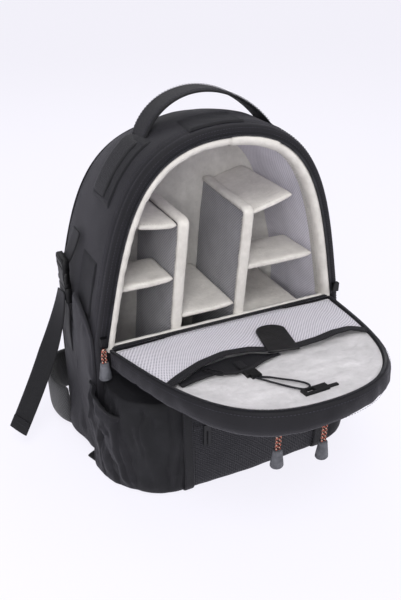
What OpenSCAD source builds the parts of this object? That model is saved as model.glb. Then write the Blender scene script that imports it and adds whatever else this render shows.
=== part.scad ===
// Camera backpack with a D-shaped front flap, lying open.
// X is across the bag, the front faces -Y, Z is up from the ground.

/* [Opening and body] */
// Half of the width of the opening at the flap hinge
opening_half = 140; // [130:1:150]
// Height of the flap hinge above the ground
hinge_z = 160; // [155:1:170]
// Height of the opening above the hinge
opening_h = 205; // [195:1:220]
// Depth from the opening to the back of the back panel
body_depth = 150; // [140:1:160]
// Width of the black border around the opening
border_w = 12; // [10:1:13]
// How much lower the arch is at the back, as a share of its height
back_drop = 0.14; // [0.1:0.01:0.16]

/* [Flap] */
// Angle of the open flap above level
flap_rise = 8.7; // [5:0.1:12]
// Depth of the flap's side wall
flap_wall = 21; // [16:1:22]

/* [Dividers] */
// Thickness of the upright dividers
divider_t = 10; // [8:1:11]
// Thickness of the shelves
shelf_t = 9; // [6:1:9]
// Sideways lean of the left divider per unit of height
lean_left = 0.08; // [0.06:0.01:0.09]
// Sideways lean of the right divider per unit of height
lean_right = 0.06; // [0.05:0.01:0.08]

/* [Pockets and straps] */
// How far the front pocket stands out from the opening plane
pocket_out = 77; // [60:1:80]
// Height of the top of the front pocket
pocket_top = 124; // [110:1:124]
// Width of the compression webbing
web_w = 25; // [20:1:26]
// Thickness of the webbing
web_t = 1.6; // [1.2:0.1:2]

/* [Hidden] */
$fn = 48;

cut = 1;
front_y = -65;
back_y = front_y + body_depth;
pad_t = 10;
shell_t = 6;
border_t = 4;
curve_steps = 20;

// Control points of the right half of the opening, measured from the hinge line
arch_start = [opening_half, 0];
arch_low = [opening_half - 25, 0.6 * opening_h];
arch_high = [opening_half - 37, opening_h];
arch_top = [0, opening_h];

lower_half = opening_half + border_w + 2;
flare_z = 70;
base_r = 30;
liner_in = -6;
liner_out = border_w - shell_t - 0.25;
liner_front_y = front_y + border_t;
liner_back_y = back_y - 2 * pad_t;

hinge_y = front_y - 1;
hinge_axis_z = hinge_z - 2;
flap_turn = 90 - flap_rise;
flap_edge_y = front_y - 2;
flap_face_y = flap_edge_y - flap_wall;
flap_pad_y = flap_edge_y - 6;
mesh_d = 84;
binding_w = 9;
flap_zip_d = 164;

divider_top = 280;
left_tilt = 8.5;
right_tilt = 15;
divider_front = -56;
divider_left_x = -47;
divider_right_x = 29;
shelf_front = -54;
shelf_back = liner_back_y - 1;
short_depth = 62;
side_gap = 0.6;
fold_gap = 0.5;

front_pocket_y = front_y - pocket_out;
corner_r = 62;
corner_x = 88;
corner_y = front_pocket_y + corner_r;
side_pocket_r = 76;
side_pocket_y = -60;
side_pocket_top = 100;
side_pocket_back = -56;
side_wall_x = lower_half + 0.3;
strip_x = 78;

wing_x = side_wall_x + 0.4;
wing_t = 2.4;
buckle_x = side_wall_x - 1.3;
buckle_t = 8;
buckle_y = 28;
buckle_w = 30;
socket_z = 195.4;
socket_h = 34;
plug_z = 175;
plug_h = 20;
tongue_h = 15;

handle_y = 2;
handle_w = 32;
handle_t = 3;

cord_d = 2.6;
leash_d = 2;
// Height that the flap pulls hang through, from the eye to the end piece
pull_drop = [31, 40];
pull_end_h = 20;
pull_foot = 14;
pull_neck = 9.6;
pull_x = [-32, 20];
main_pull_x = -147;
main_pull_y = -75;
main_pull_z = 164;
main_pull_drop = 16;

// Route of one looped pull cord that hangs through a given height
function pull_route(h) = [
    [-1.6, 0, 0], [-1.7, 0, h - 28], [-1.8, 0, h - 16], [-1.8, 0, h - 6], [-1.2, 0, h - 2],
    [0, 0, h], [1.2, 0, h - 2], [1.8, 0, h - 6], [1.8, 0, h - 16], [1.7, 0, h - 28], [1.6, 0, 0]
];
// Route of the short cord on the main slider
main_route = [
    [-1.6, 0, 0], [-1.8, 0, 6], [-1.7, 0, 11], [-1.1, 0, 15], [0, 0, 16],
    [1.1, 0, 15], [1.7, 0, 11], [1.8, 0, 6], [1.6, 0, 0]
];
// Route of the leash cord on the flap, as x, height over the lining and distance from the hinge
leash_route = [
    [-34.8, 2.4, 129.3], [-31, 3, 138], [-25, 3, 149], [-18, 2.8, 160], [-12, 2.6, 168],
    [-7, 2.4, 171.4], [-1, 2.4, 169], [-1, 2.6, 163], [-7, 2.8, 154], [-16, 3, 145],
    [-24, 3, 136], [-31.2, 2.4, 129.3]
];

black = "#17171b";
nylon = "#202027";
foam = "#b9b7b4";
pale = "#dcdad6";
plastic = "#0e0e10";
cord_red = "#a8433c";
grey_rubber = "#6d6e73";

// Outlines -----------------------------------------------------------------

function bezier(a, b, c, d, t) =
    pow(1 - t, 3) * a + 3 * pow(1 - t, 2) * t * b + 3 * (1 - t) * t * t * c + pow(t, 3) * d;

function bezier_run(a, b, c, d, t) =
    3 * pow(1 - t, 2) * (b - a) + 6 * (1 - t) * t * (c - b) + 3 * t * t * (d - c);

function side_of(run) = [run.y, -run.x] / norm(run);

// Point on the opening's right half, moved outwards by grow
function arch_point(t, grow) =
    [0, hinge_z] + bezier(arch_start, arch_low, arch_high, arch_top, t)
    + grow * side_of(bezier_run(arch_start, arch_low, arch_high, arch_top, t));

function arch_right(grow, t0 = 0, t1 = 1) =
    [for (i = [0 : curve_steps]) arch_point(t0 + (t1 - t0) * i / curve_steps, grow)];

function mirrored(points) = [for (i = [len(points) - 1 : -1 : 0]) [-points[i].x, points[i].y]];

function arch(grow) = concat(arch_right(grow), mirrored(arch_right(grow)));

function corner(x, y, r, from, to) =
    [for (i = [0 : 8]) let (a = from + (to - from) * i / 8) [x + r * cos(a), y + r * sin(a)]];

// Outline of the bag seen from the front
function bag_outline(grow) =
    let (
        half = lower_half + grow - border_w,
        low = border_w - grow,
        r = base_r + grow - border_w,
        right = concat(corner(half - r, low + r, r, -90, 0), [[half, flare_z]])
    )
    concat(right, arch(grow), mirrored(right));

// Closed band along one stretch of the right half of the arch
function arch_band(t0, t1, low, high) =
    let (outer = arch_right(high, t0, t1))
    concat(arch_right(low, t0, t1), [for (i = [len(outer) - 1 : -1 : 0]) outer[i]]);

// Depths between which the arch drops in a straight line, and the share dropped at each
drop_at = [-5, 20, 45, 65, 85];
drop_table = [for (y = drop_at) [y, back_drop * pow((y + 5) / 90, 1.6)]];

// An outline as it stands at depth y, where the arch has dropped
function dropped(points, y) =
    let (k = 1 - lookup(y, drop_table))
    [for (p = points) [p.x, p.y > hinge_z ? hinge_z + k * (p.y - hinge_z) : p.y]];

function curve_band(a, b, c, d, half) =
    let (ts = [for (i = [0 : curve_steps]) i / curve_steps])
    concat(
        [for (t = ts) bezier(a, b, c, d, t) + half * side_of(bezier_run(a, b, c, d, t))],
        [for (i = [curve_steps : -1 : 0]) let (t = i / curve_steps)
            bezier(a, b, c, d, t) - half * side_of(bezier_run(a, b, c, d, t))]
    );

// Extrudes an outline drawn in X and Z between two depths
module slab(y0, y1, points) {
    translate([0, y1, 0]) rotate([90, 0, 0]) linear_extrude(y1 - y0) polygon(points);
}

// The same outline as it stands at each depth on the way, joined by straight sides
module loft(y0, y1, points) {
    n = len(points);
    depths = concat([y0], [for (y = drop_at) if (y > y0 && y < y1) y], [y1]);
    last = len(depths) - 1;
    rings = [for (y = depths) each [for (p = dropped(points, y)) [p.x, y, p.y]]];
    sides = [for (j = [0 : last - 1]) for (i = [0 : n - 1])
        [n * j + i, n * j + (i + 1) % n, n * j + n + (i + 1) % n, n * j + n + i]];
    caps = [[for (i = [n - 1 : -1 : 0]) i], [for (i = [0 : n - 1]) n * last + i]];
    polyhedron(rings, concat(sides, caps), 10);
}

// Extrudes an outline drawn in Y and Z between two widths
module side_slab(x0, x1, points) {
    translate([x0, 0, 0]) rotate([90, 0, 90]) linear_extrude(x1 - x0) polygon(points);
}

module block(low, high) {
    translate(low) cube(high - low);
}

module both_sides() {
    children();
    mirror([1, 0, 0]) children();
}

// Turns what is drawn on the closed flap down into its open place
module open_flap() {
    translate([0, hinge_y, hinge_axis_z]) rotate([flap_turn, 0, 0]) children();
}

// The same, for what is drawn in the bag's frame with the flap closed
module open_flap_whole() {
    open_flap() translate([0, -hinge_y, -hinge_axis_z]) children();
}

function opened(x, out, d) = [
    x,
    hinge_y - out * cos(flap_turn) - d * sin(flap_turn),
    hinge_axis_z - out * sin(flap_turn) + d * cos(flap_turn)
];

// Tube ---------------------------------------------------------------------

function unit(v) = v / norm(v);

function run_at(route, i) =
    unit(route[min(i + 1, len(route) - 1)] - route[max(i - 1, 0)]);

function ring_at(route, i, r, flat) =
    let (run = run_at(route, i), u = unit(cross(flat, run)), v = cross(run, u))
    [for (k = [0 : 7]) route[i] + r * (cos(45 * k) * u + sin(45 * k) * v)];

// Eight-sided tube along a route that stays square to the flat direction
module tube(route, d, flat) {
    n = len(route);
    points = [for (i = [0 : n - 1]) each ring_at(route, i, d / 2, flat)];
    sides = [for (i = [0 : n - 2]) for (k = [0 : 7])
        [8 * i + k, 8 * i + (k + 1) % 8, 8 * i + 8 + (k + 1) % 8, 8 * i + 8 + k]];
    caps = [[for (k = [7 : -1 : 0]) k], [for (k = [0 : 7]) 8 * (n - 1) + k]];
    polyhedron(points, concat(sides, caps), 10);
}

// Flat ribbon along a route, its width turned by the angle given for each point
module ribbon(route, turns, width, thick) {
    n = len(route);
    points = [for (i = [0 : n - 1])
        let (
            run = run_at(route, i),
            across = unit([-sin(turns[i]), cos(turns[i]), 0]),
            face = unit(cross(run, across)),
            w = cross(face, run) * width / 2,
            t = face * thick / 2
        )
        each [route[i] - w - t, route[i] + w - t, route[i] + w + t, route[i] - w + t]];
    sides = [for (i = [0 : n - 2]) for (k = [0 : 3])
        [4 * i + k, 4 * i + (k + 1) % 4, 4 * i + 4 + (k + 1) % 4, 4 * i + 4 + k]];
    caps = [[3, 2, 1, 0], [for (k = [0 : 3]) 4 * (n - 1) + k]];
    polyhedron(points, concat(sides, caps), 10);
}

// Body ---------------------------------------------------------------------

module base_footprint(extra) {
    half = lower_half - base_r;
    block([-half, liner_front_y, -extra], [half, back_y - pad_t, shell_t + extra]);
}

module gusset() {
    color(nylon) difference() {
        loft(liner_front_y, back_y - pad_t, bag_outline(border_w));
        loft(liner_front_y - cut, back_y - pad_t + cut, bag_outline(border_w - shell_t));
        base_footprint(cut);
    }
}

module base_panel() {
    color(black) base_footprint(0);
}

module back_panel() {
    color(nylon) loft(back_y - pad_t, back_y, bag_outline(border_w));
}

module front_border() {
    color(nylon) difference() {
        slab(front_y, liner_front_y, bag_outline(border_w));
        slab(front_y - cut, liner_front_y + cut, concat(arch(0.5), [[-150, 100], [150, 100]]));
        block([-200, front_y - cut, -cut], [200, liner_front_y + cut, hinge_z - 4]);
    }
}

module front_wall() {
    color(nylon) intersection() {
        slab(front_y, liner_front_y, bag_outline(border_w));
        block([-200, front_y - cut, -cut], [200, liner_front_y + cut, hinge_z - 4]);
    }
}

module liner_wall() {
    color(foam) {
        difference() {
            loft(liner_front_y, liner_back_y, bag_outline(liner_out));
            loft(liner_front_y - cut, liner_back_y + cut, bag_outline(liner_in));
        }
        intersection() {
            slab(liner_front_y, liner_front_y + 4.5, bag_outline(liner_in));
            block([-200, liner_front_y - cut, 0], [200, liner_front_y + 5, hinge_z - 6]);
        }
    }
}

module liner_back() {
    color(foam) loft(liner_back_y, back_y - pad_t, bag_outline(liner_out));
}

module body_zip() {
    color(plastic) both_sides() slab(front_y - 2.4, front_y, arch_band(0.02, 1, 0.8, 3.6));
}

module hinge_binding() {
    color(black) translate([-opening_half + 4, hinge_y, hinge_axis_z]) rotate([0, 90, 0])
        cylinder(h = 2 * opening_half - 8, d = 3);
}

module main_sliders() {
    x = opening_half + 4.6;
    color(plastic) both_sides() {
        block([x - 3.6, front_y - 7.4, hinge_z + 4], [x + 3.6, front_y - 2.5, hinge_z + 15]);
    }
}

// Inside -------------------------------------------------------------------

function divider_x(top_x, lean, z) = top_x - lean * (divider_top - z);

module divider(top_x, lean) {
    low = border_w - liner_in + 0.3;
    h = divider_t / 2;
    x = divider_x(top_x, lean, low);
    slab(divider_front, liner_back_y - 0.3, [
        [x - h, low], [x + h, low], [top_x + h, divider_top], [top_x - h, divider_top]
    ]);
}

module divider_left() {
    color(pale) divider(divider_left_x, lean_left);
}

module divider_right() {
    color(pale) divider(divider_right_x, lean_right);
}

// Shelf with its long edges parallel to the dividers on either side
module shelf(x0, x1, z, lean0, lean1, depth = shelf_back - shelf_front) {
    color(pale) slab(shelf_front, shelf_front + depth, [
        [x0, z], [x1, z], [x1 + lean1 * shelf_t, z + shelf_t], [x0 + lean0 * shelf_t, z + shelf_t]
    ]);
}

left_face = divider_left_x - divider_t / 2;
left_inner_face = divider_left_x + divider_t / 2;
right_inner_face = divider_right_x - divider_t / 2;
right_face = divider_right_x + divider_t / 2;

// Top shelf that folds at its upright, its outer end a little higher
module top_shelf(length, tilt) {
    color(pale) rotate([0, -tilt, 0]) block([0, shelf_front, 0], [length, shelf_back, shelf_t]);
}

module shelf_left_top() {
    translate([left_face - fold_gap - 1.6, 0, divider_top - shelf_t])
        mirror([1, 0, 0]) top_shelf(41, left_tilt);
}

module shelf_right_top() {
    translate([right_face + fold_gap + 2.2, 0, divider_top - shelf_t]) top_shelf(51, right_tilt);
}

module shelf_left_low() {
    z = 211;
    x = divider_x(left_face, lean_left, z) - side_gap;
    shelf(-118, x, z, 0, lean_left, short_depth);
}

module shelf_centre() {
    z = 163;
    x0 = divider_x(left_inner_face, lean_left, z) + side_gap;
    x1 = divider_x(right_inner_face, lean_right, z) - side_gap;
    shelf(x0, x1, z, lean_left, lean_right);
}

module shelf_right_mid() {
    z = 206;
    shelf(divider_x(right_face, lean_right, z) + side_gap, 118, z, lean_right, 0, short_depth);
}

module shelf_right_low() {
    z = 138;
    shelf(divider_x(right_face, lean_right, z) + side_gap, 112, z, lean_right, 0);
}

// Flap ---------------------------------------------------------------------

module flap_plate(out0, out1, inset) {
    intersection() {
        slab(out0, out1, arch(-inset));
        block([-200, out0 - cut, hinge_z + inset], [200, out1 + cut, hinge_z + opening_h + 5]);
    }
}

module flap_shell() {
    color(nylon) open_flap_whole() difference() {
        flap_plate(flap_face_y, flap_edge_y, 0);
        flap_plate(flap_face_y + 3, flap_edge_y + cut, 3);
    }
}

module flap_lining() {
    color(foam) open_flap_whole() flap_plate(flap_face_y + 3, flap_pad_y, 3.2);
}

module flap_zip() {
    color(plastic) open_flap_whole() difference() {
        flap_plate(flap_edge_y, flap_edge_y + 1.4, 0);
        flap_plate(flap_edge_y - cut, flap_edge_y + 2 + cut, 4);
        block([-200, -100, hinge_z - cut], [200, -50, hinge_z + 8]);
    }
}

// The part of a flap layer between two distances from the hinge line
module flap_strip(out0, out1, d0, d1) {
    intersection() {
        flap_plate(out0, out1, 7);
        block([-200, out0 - cut, hinge_z + d0], [200, out1 + cut, hinge_z + d1]);
    }
}

module mesh_pocket() {
    color("#cfcbd6") open_flap_whole() flap_strip(flap_pad_y + 0.1, flap_pad_y + 2, 7, mesh_d);
}

module pocket_binding() {
    color(black) open_flap_whole()
        flap_strip(flap_pad_y + 0.1, flap_pad_y + 3, mesh_d, mesh_d + binding_w);
}

module pocket_tab() {
    color(black) open_flap_whole() translate([15, flap_pad_y + 3.2, hinge_z + 88]) rotate([0, -15, 0]) {
        block([-16, 0, -32], [16, 2.4, 16]);
        intersection() {
            translate([0, 0, -32]) rotate([-90, 0, 0]) cylinder(h = 2.4, r = 16);
            block([-20, -cut, -60], [20, 4, -32]);
        }
    }
}

module leash_strap() {
    y = flap_pad_y + 0.1;
    color(black) open_flap_whole() {
        block([-41, y, hinge_z + mesh_d + binding_w + 0.2], [-31, y + 1.5, hinge_z + 106]);
    }
}

module leash_buckle() {
    y = flap_pad_y + 0.1;
    color(plastic) open_flap_whole() {
        block([-41, y, hinge_z + 106], [-28, y + 4.5, hinge_z + 122]);
        block([-38, y, hinge_z + 122], [-28, y + 4.5, hinge_z + 127]);
    }
}

module leash_cord() {
    route = [for (p = leash_route) opened(p[0], 6 + 1 - p[1], p[2])];
    color(plastic) tube(route, leash_d, opened(0, 0, 0) - opened(0, 1, 0));
}

module leash_clasp() {
    y = flap_pad_y + 0.1;
    color(plastic) open_flap_whole() difference() {
        union() {
            block([-14, y, hinge_z + 171], [12, y + 4.5, hinge_z + 180]);
            block([12, y, hinge_z + 174], [23, y + 3, hinge_z + 178]);
        }
        block([-11, y - cut, hinge_z + 173], [-2, y + 6, hinge_z + 178]);
    }
}

module flap_pocket() {
    color(nylon) open_flap_whole() intersection() {
        flap_plate(flap_face_y - 8, flap_face_y, 16);
        block([-200, -200, hinge_z + 16], [200, 0, hinge_z + 156]);
    }
}

module flap_pocket_zip() {
    color(plastic) open_flap_whole()
        block([-74, flap_face_y - 1.4, hinge_z + flap_zip_d - 5],
              [74, flap_face_y, hinge_z + flap_zip_d + 5]);
}

// Zip slider with an eye under it that the pull cord runs through
module flap_slider(x) {
    y = flap_face_y - 1.7;
    z = hinge_z + flap_zip_d;
    color(plastic) open_flap_whole() {
        block([x - 4, y - 3, z - 5], [x + 4, y, z + 5]);
        block([x - 3.6, y - 8.5, z - 3.5], [x - 2.6, y - 3, z + 3.5]);
        block([x + 2.6, y - 8.5, z - 3.5], [x + 3.6, y - 3, z + 3.5]);
        block([x - 2.6, y - 8.5, z - 3.5], [x + 2.6, y - 7.5, z + 3.5]);
    }
}

module flap_slider_left() {
    flap_slider(pull_x[0]);
}

module flap_slider_right() {
    flap_slider(pull_x[1]);
}

// Foot of the slider's eye, where a pull swings
function eye_point(x) = opened(x, flap_wall + 1 + 1.7 + 12.4, flap_zip_d + 2);

module pull_cord(top, route, drop) {
    color(cord_red) translate(top - [0, 0, drop]) tube(route, cord_d, [0, 1, 0]);
}

// Moulded end piece, a little wider at the foot
module pull_end(top) {
    color(grey_rubber) translate(top - [0, 0, pull_end_h]) {
        cylinder(h = 5, d = pull_foot);
        translate([0, 0, 5]) cylinder(h = pull_end_h - 5, d1 = pull_foot, d2 = pull_neck, $fn = 32);
    }
}

module flap_pull_cord_left() {
    pull_cord(eye_point(pull_x[0]), pull_route(pull_drop[0]), pull_drop[0]);
}

module flap_pull_cord_right() {
    pull_cord(eye_point(pull_x[1]), pull_route(pull_drop[1]), pull_drop[1]);
}

module flap_pull_end_left() {
    pull_end(eye_point(pull_x[0]) - [0, 0, pull_drop[0]]);
}

module flap_pull_end_right() {
    pull_end(eye_point(pull_x[1]) - [0, 0, pull_drop[1]]);
}

main_pull_top = [main_pull_x, main_pull_y, main_pull_z];

module main_pull_cord() {
    pull_cord(main_pull_top, main_route, main_pull_drop);
}

module main_pull_end() {
    pull_end(main_pull_top - [0, 0, main_pull_drop]);
}

// Outside ------------------------------------------------------------------

module front_plan(extra) {
    r = corner_r + extra;
    right = corner(corner_x, corner_y, r, -90, 0);
    polygon(concat(right, [[corner_x + r, front_y]], mirrored(concat(right, [[corner_x + r, front_y]]))));
}

module front_pocket() {
    color(nylon) translate([0, 0, 4]) linear_extrude(pocket_top - 4) front_plan(0);
}

module front_straps() {
    y = front_pocket_y;
    color(black) both_sides() block([strip_x, y - web_t, 4], [strip_x + 10, y, 96]);
    color(plastic) block([-70, y - web_t, 82], [70, y, 88]);
}

module front_slider() {
    y = front_pocket_y - web_t;
    x = -62;
    color(plastic) {
        block([x - 4, y - 3.4, 81], [x + 4, y - 0.3, 89]);
        block([x - 4, y - 3, 62], [x - 1, y - 1, 81]);
        block([x + 1, y - 3, 60], [x + 4, y - 1, 81]);
    }
}

module side_pocket(wall) {
    difference() {
        translate([-corner_x, side_pocket_y, 0]) cylinder(h = side_pocket_top, r = side_pocket_r - wall);
        block([-corner_x, -300, -cut], [0, 300, 300]);
        block([-300, side_pocket_y, -cut], [300, 300, 300]);
    }
    block([-corner_x - side_pocket_r + wall, side_pocket_y, 0],
          [-corner_x, side_pocket_back - wall, side_pocket_top]);
}

module side_pocket_left() {
    color(nylon) difference() {
        translate([0, 0, 1]) side_pocket(0);
        translate([0, 0, 5]) side_pocket(3);
        translate([0, 0, -cut]) linear_extrude(300) front_plan(0.3);
        block([-side_wall_x, front_y - 0.3, -cut], [0, 300, 300]);
    }
}

module side_pocket_right() {
    mirror([1, 0, 0]) side_pocket_left();
}

module side_wings() {
    color(nylon) both_sides() side_slab(wing_x, wing_x + wing_t, [
        [-63, 150], [-40, 106], [40, 104], [66, 130], [66, 148], [0, 149]
    ]);
}

module sewn_patches() {
    color(black) both_sides() {
        loft(handle_y - 22, handle_y + 18, arch_band(0.5, 0.68, border_w + 0.1, border_w + 1.9));
        loft(-40, 8, arch_band(0.1, 0.28, border_w + 0.1, border_w + 1.3));
        loft(-60, -18, arch_band(0.89, 1, border_w + 0.1, border_w + 1.3));
    }
}

module buckle_socket() {
    y = buckle_y - buckle_w / 2;
    difference() {
        block([buckle_x, y, socket_z], [buckle_x + buckle_t, y + buckle_w, socket_z + socket_h]);
        block([buckle_x + 1.5, y + 3, socket_z - cut],
              [buckle_x + buckle_t - 1.5, y + buckle_w - 3, socket_z + tongue_h + 5]);
        block([buckle_x - cut, y + 3, socket_z + socket_h - 8],
              [buckle_x + buckle_t - 2, y + buckle_w - 3, socket_z + socket_h - 4]);
    }
}

module buckle_sockets() {
    color(plastic) both_sides() buckle_socket();
}

module buckle_plug() {
    y = buckle_y - buckle_w / 2;
    block([buckle_x, y, plug_z], [buckle_x + buckle_t, y + buckle_w, plug_z + plug_h]);
    block([buckle_x + 2, y + 3.5, plug_z + plug_h],
          [buckle_x + buckle_t - 2, y + 9, plug_z + plug_h + tongue_h]);
    block([buckle_x + 2, y + buckle_w - 9, plug_z + plug_h],
          [buckle_x + buckle_t - 2, y + buckle_w - 3.5, plug_z + plug_h + tongue_h]);
}

module buckle_plug_right() {
    color(plastic) buckle_plug();
}

module buckle_plug_left() {
    color(plastic) mirror([1, 0, 0]) buckle_plug();
}

// Webbing from the wing up to the plug, and from the socket back to the side of the bag
module strap_links() {
    y0 = buckle_y - web_w / 2;
    x = wing_x + wing_t;
    color(black) both_sides() {
        slab(y0, y0 + web_w, [
            [x + 0.1, 118], [x + 0.1 + web_t, 118], [x + 0.1 + web_t, 150],
            [buckle_x + 5, 164], [buckle_x + 5, plug_z], [buckle_x + 5 - web_t, plug_z],
            [buckle_x + 5 - web_t, 163], [x + 0.1, 149]
        ]);
        slab(y0, y0 + web_w, [
            [buckle_x - 0.1, 220], [buckle_x - 0.1, 222],
            dropped([arch_point(0.2, border_w + 1.9)], y0)[0],
            dropped([arch_point(0.18, border_w + 0.3)], y0)[0]
        ]);
    }
}

// Free end of the compression webbing, hanging out from the plug and turning on the way
module strap_tail() {
    ts = [for (i = [0 : 12]) i / 12];
    out = [for (t = ts) bezier([0.9, 0], [9, -40], [40, -100], [75, -162], t)];
    route = [for (i = [0 : 12]) [out[i].x, -20 * ts[i], out[i].y]];
    turns = [for (t = ts) -40 * min(1, 2 * t)];
    color(black) translate([buckle_x + buckle_t, buckle_y, plug_z + 12])
        ribbon(route, turns, web_w, web_t);
}

module strap_tail_right() {
    strap_tail();
}

module strap_tail_left() {
    mirror([1, 0, 0]) strap_tail();
}

module base_tails() {
    x = lower_half - 12.5;
    y = side_pocket_back + 2;
    color(black) both_sides() block([x, y, 3], [x + 26, y + 16, 4.8]);
}

module carry_handle() {
    color(black) slab(handle_y - handle_w / 2, handle_y + handle_w / 2,
        curve_band([-94, 352], [-54, 414], [32, 418], [88, 357], handle_t / 2));
}

// Harness ------------------------------------------------------------------

module back_pads() {
    color(black) {
        both_sides() block([16, back_y, 110], [70, back_y + 10, 300]);
        block([-95, back_y, 24], [95, back_y + 16, 92]);
    }
}

module shoulder_straps() {
    color(black) both_sides() side_slab(24, 80, curve_band(
        [back_y + 5, 316], [back_y + 52, 312], [back_y + 38, 230], [back_y + 26, 128], 4.5));
}

module lower_webs() {
    color(black) both_sides() side_slab(52 - web_w / 2, 52 + web_w / 2, curve_band(
        [back_y + 30, 112.6], [back_y + 36, 96], [back_y + 24, 60], [back_y + 17, 40], web_t / 2));
}

module ladder_locks() {
    y = back_y + 27;
    color(plastic) both_sides() difference() {
        block([36, y - 4, 114], [68, y + 5, 127]);
        block([39, y - 4 - cut, 118], [65, y + 5 + cut, 121]);
    }
}

module sternum_strap() {
    y = back_y + 43.8;
    z = 236;
    color(black) block([-66, y, z - 10], [66, y + 1.6, z + 10]);
    color(plastic) {
        block([-22, y + 1.7, z - 12], [22, y + 8, z + 12]);
        both_sides() block([56, y + 1.7, z - 13], [70, y + 5, z + 13]);
    }
}

// Padded wing that folds forward round the side of the bag
module hip_belt() {
    x = lower_half;
    y = back_y;
    plan = [
        [122, y + 5], [x + 2, y + 5], [x + 11, y - 12], [x + 17, y - 40], [x + 9, y - 72],
        [x + 17, y - 74], [x + 28, y - 38], [x + 23, y - 2], [x + 4, y + 15], [122, y + 15]
    ];
    translate([0, 0, 6]) linear_extrude(58) polygon(plan);
}

module hip_belt_right() {
    color(black) hip_belt();
}

module hip_belt_left() {
    color(black) mirror([1, 0, 0]) hip_belt();
}

gusset();
base_panel();
back_panel();
front_border();
front_wall();
liner_wall();
liner_back();
body_zip();
hinge_binding();
main_sliders();
divider_left();
divider_right();
sewn_patches();
side_wings();
buckle_sockets();
strap_links();
side_pocket_left();
side_pocket_right();
front_pocket();
front_straps();
base_tails();
back_pads();
shoulder_straps();
lower_webs();
ladder_locks();
shelf_left_top();
shelf_right_top();
shelf_left_low();
shelf_centre();
shelf_right_mid();
shelf_right_low();
flap_shell();
flap_lining();
flap_zip();
mesh_pocket();
pocket_binding();
pocket_tab();
leash_strap();
leash_buckle();
leash_cord();
leash_clasp();
flap_pocket();
flap_pocket_zip();
flap_slider_left();
flap_slider_right();
flap_pull_cord_left();
flap_pull_cord_right();
flap_pull_end_left();
flap_pull_end_right();
main_pull_cord();
main_pull_end();
front_slider();
buckle_plug_left();
buckle_plug_right();
strap_tail_left();
strap_tail_right();
carry_handle();
hip_belt_left();
hip_belt_right();
sternum_strap();
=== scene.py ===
"""Camera backpack standing with its D-shaped front flap folded open. The helpers work in millimetres."""

import math

import bmesh
import bpy
import numpy as np
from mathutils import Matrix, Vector, noise


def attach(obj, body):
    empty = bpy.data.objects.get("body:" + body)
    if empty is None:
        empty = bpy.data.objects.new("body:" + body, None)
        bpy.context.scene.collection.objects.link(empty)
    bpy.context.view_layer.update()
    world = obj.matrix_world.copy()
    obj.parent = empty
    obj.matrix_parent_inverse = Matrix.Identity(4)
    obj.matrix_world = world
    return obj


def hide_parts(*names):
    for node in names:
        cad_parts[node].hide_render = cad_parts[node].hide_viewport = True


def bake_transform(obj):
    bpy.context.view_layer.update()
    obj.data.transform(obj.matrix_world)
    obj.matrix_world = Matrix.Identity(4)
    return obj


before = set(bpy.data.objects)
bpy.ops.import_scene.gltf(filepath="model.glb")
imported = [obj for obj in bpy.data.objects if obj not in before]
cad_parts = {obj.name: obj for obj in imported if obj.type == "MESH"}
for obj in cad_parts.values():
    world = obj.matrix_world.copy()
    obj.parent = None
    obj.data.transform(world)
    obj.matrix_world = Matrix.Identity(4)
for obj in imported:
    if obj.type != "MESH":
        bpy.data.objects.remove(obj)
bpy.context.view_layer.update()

MM = 0.001
FRONT_Y, BACK_Y, HINGE_Z = -65.0, 85.0, 160.0
OPEN_HALF, OPEN_H, BACK_DROP = 140.0, 205.0, 0.14
DROP_AT = np.array((-5.0, 20.0, 45.0, 65.0, 85.0))
DROP_SHARE = BACK_DROP * ((DROP_AT + 5) / 90) ** 1.6
ARCH = np.array([(OPEN_HALF, 0), (OPEN_HALF - 25, 0.6 * OPEN_H), (OPEN_HALF - 37, OPEN_H), (0, OPEN_H)],
                float)
LOWER_HALF, FLARE_Z, BASE_R = 154.0, 70.0, 30.0
AXIS_Y, AXIS_Z = -66.0, 158.0
TURN = math.radians(81.3)


# ---------------------------------------------------------------- camera and stage
def look_camera():
    azimuth, elevation = math.radians(-25.22), math.radians(29.29)
    data = bpy.data.cameras.new("camera")
    data.sensor_width, data.lens, data.clip_end = 36, 38.95, 60
    camera = bpy.data.objects.new("camera", data)
    bpy.context.collection.objects.link(camera)
    back = Vector((math.sin(azimuth) * math.cos(elevation), -math.cos(azimuth) * math.cos(elevation),
                   math.sin(elevation)))
    camera.location = Vector((-0.0317, -0.065, 0.1906)) + back * 0.707
    camera.rotation_mode = "QUATERNION"
    camera.rotation_quaternion = (-back).to_track_quat("-Z", "Y")
    bpy.context.scene.camera = camera


look_camera()


# ---------------------------------------------------------------- curves in millimetres
def bezier(points, t):
    p = np.asarray(points, float)
    t = np.asarray(t, float)[..., None]
    return (1 - t) ** 3 * p[0] + 3 * (1 - t) ** 2 * t * p[1] + 3 * (1 - t) * t * t * p[2] + t ** 3 * p[3]


def resample(points, n):
    """n points evenly spaced along a polyline."""
    points = np.asarray(points, float)
    run = np.r_[0, np.cumsum(np.linalg.norm(np.diff(points, axis=0), axis=1))]
    at = np.linspace(0, run[-1], n)
    return np.stack([np.interp(at, run, points[:, k]) for k in range(points.shape[1])], 1)


def smooth_path(points, n):
    """Catmull-Rom through the points, evenly spaced."""
    p = np.asarray(points, float)
    q = np.vstack([2 * p[0] - p[1], p, 2 * p[-1] - p[-2]])
    out = []
    for i in range(1, len(q) - 2):
        for t in np.linspace(0, 1, 12, endpoint=False):
            a, b, c, d = q[i - 1], q[i], q[i + 1], q[i + 2]
            out.append(0.5 * (2 * b + (c - a) * t + (2 * a - 5 * b + 4 * c - d) * t * t + (3 * b - a - 3 * c
                + d) * t ** 3))
    out.append(p[-1])
    return resample(out, n)


def unit(vectors):
    """Vectors scaled to a length of one."""
    return vectors / np.linalg.norm(vectors, axis=-1)[..., None]


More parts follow.
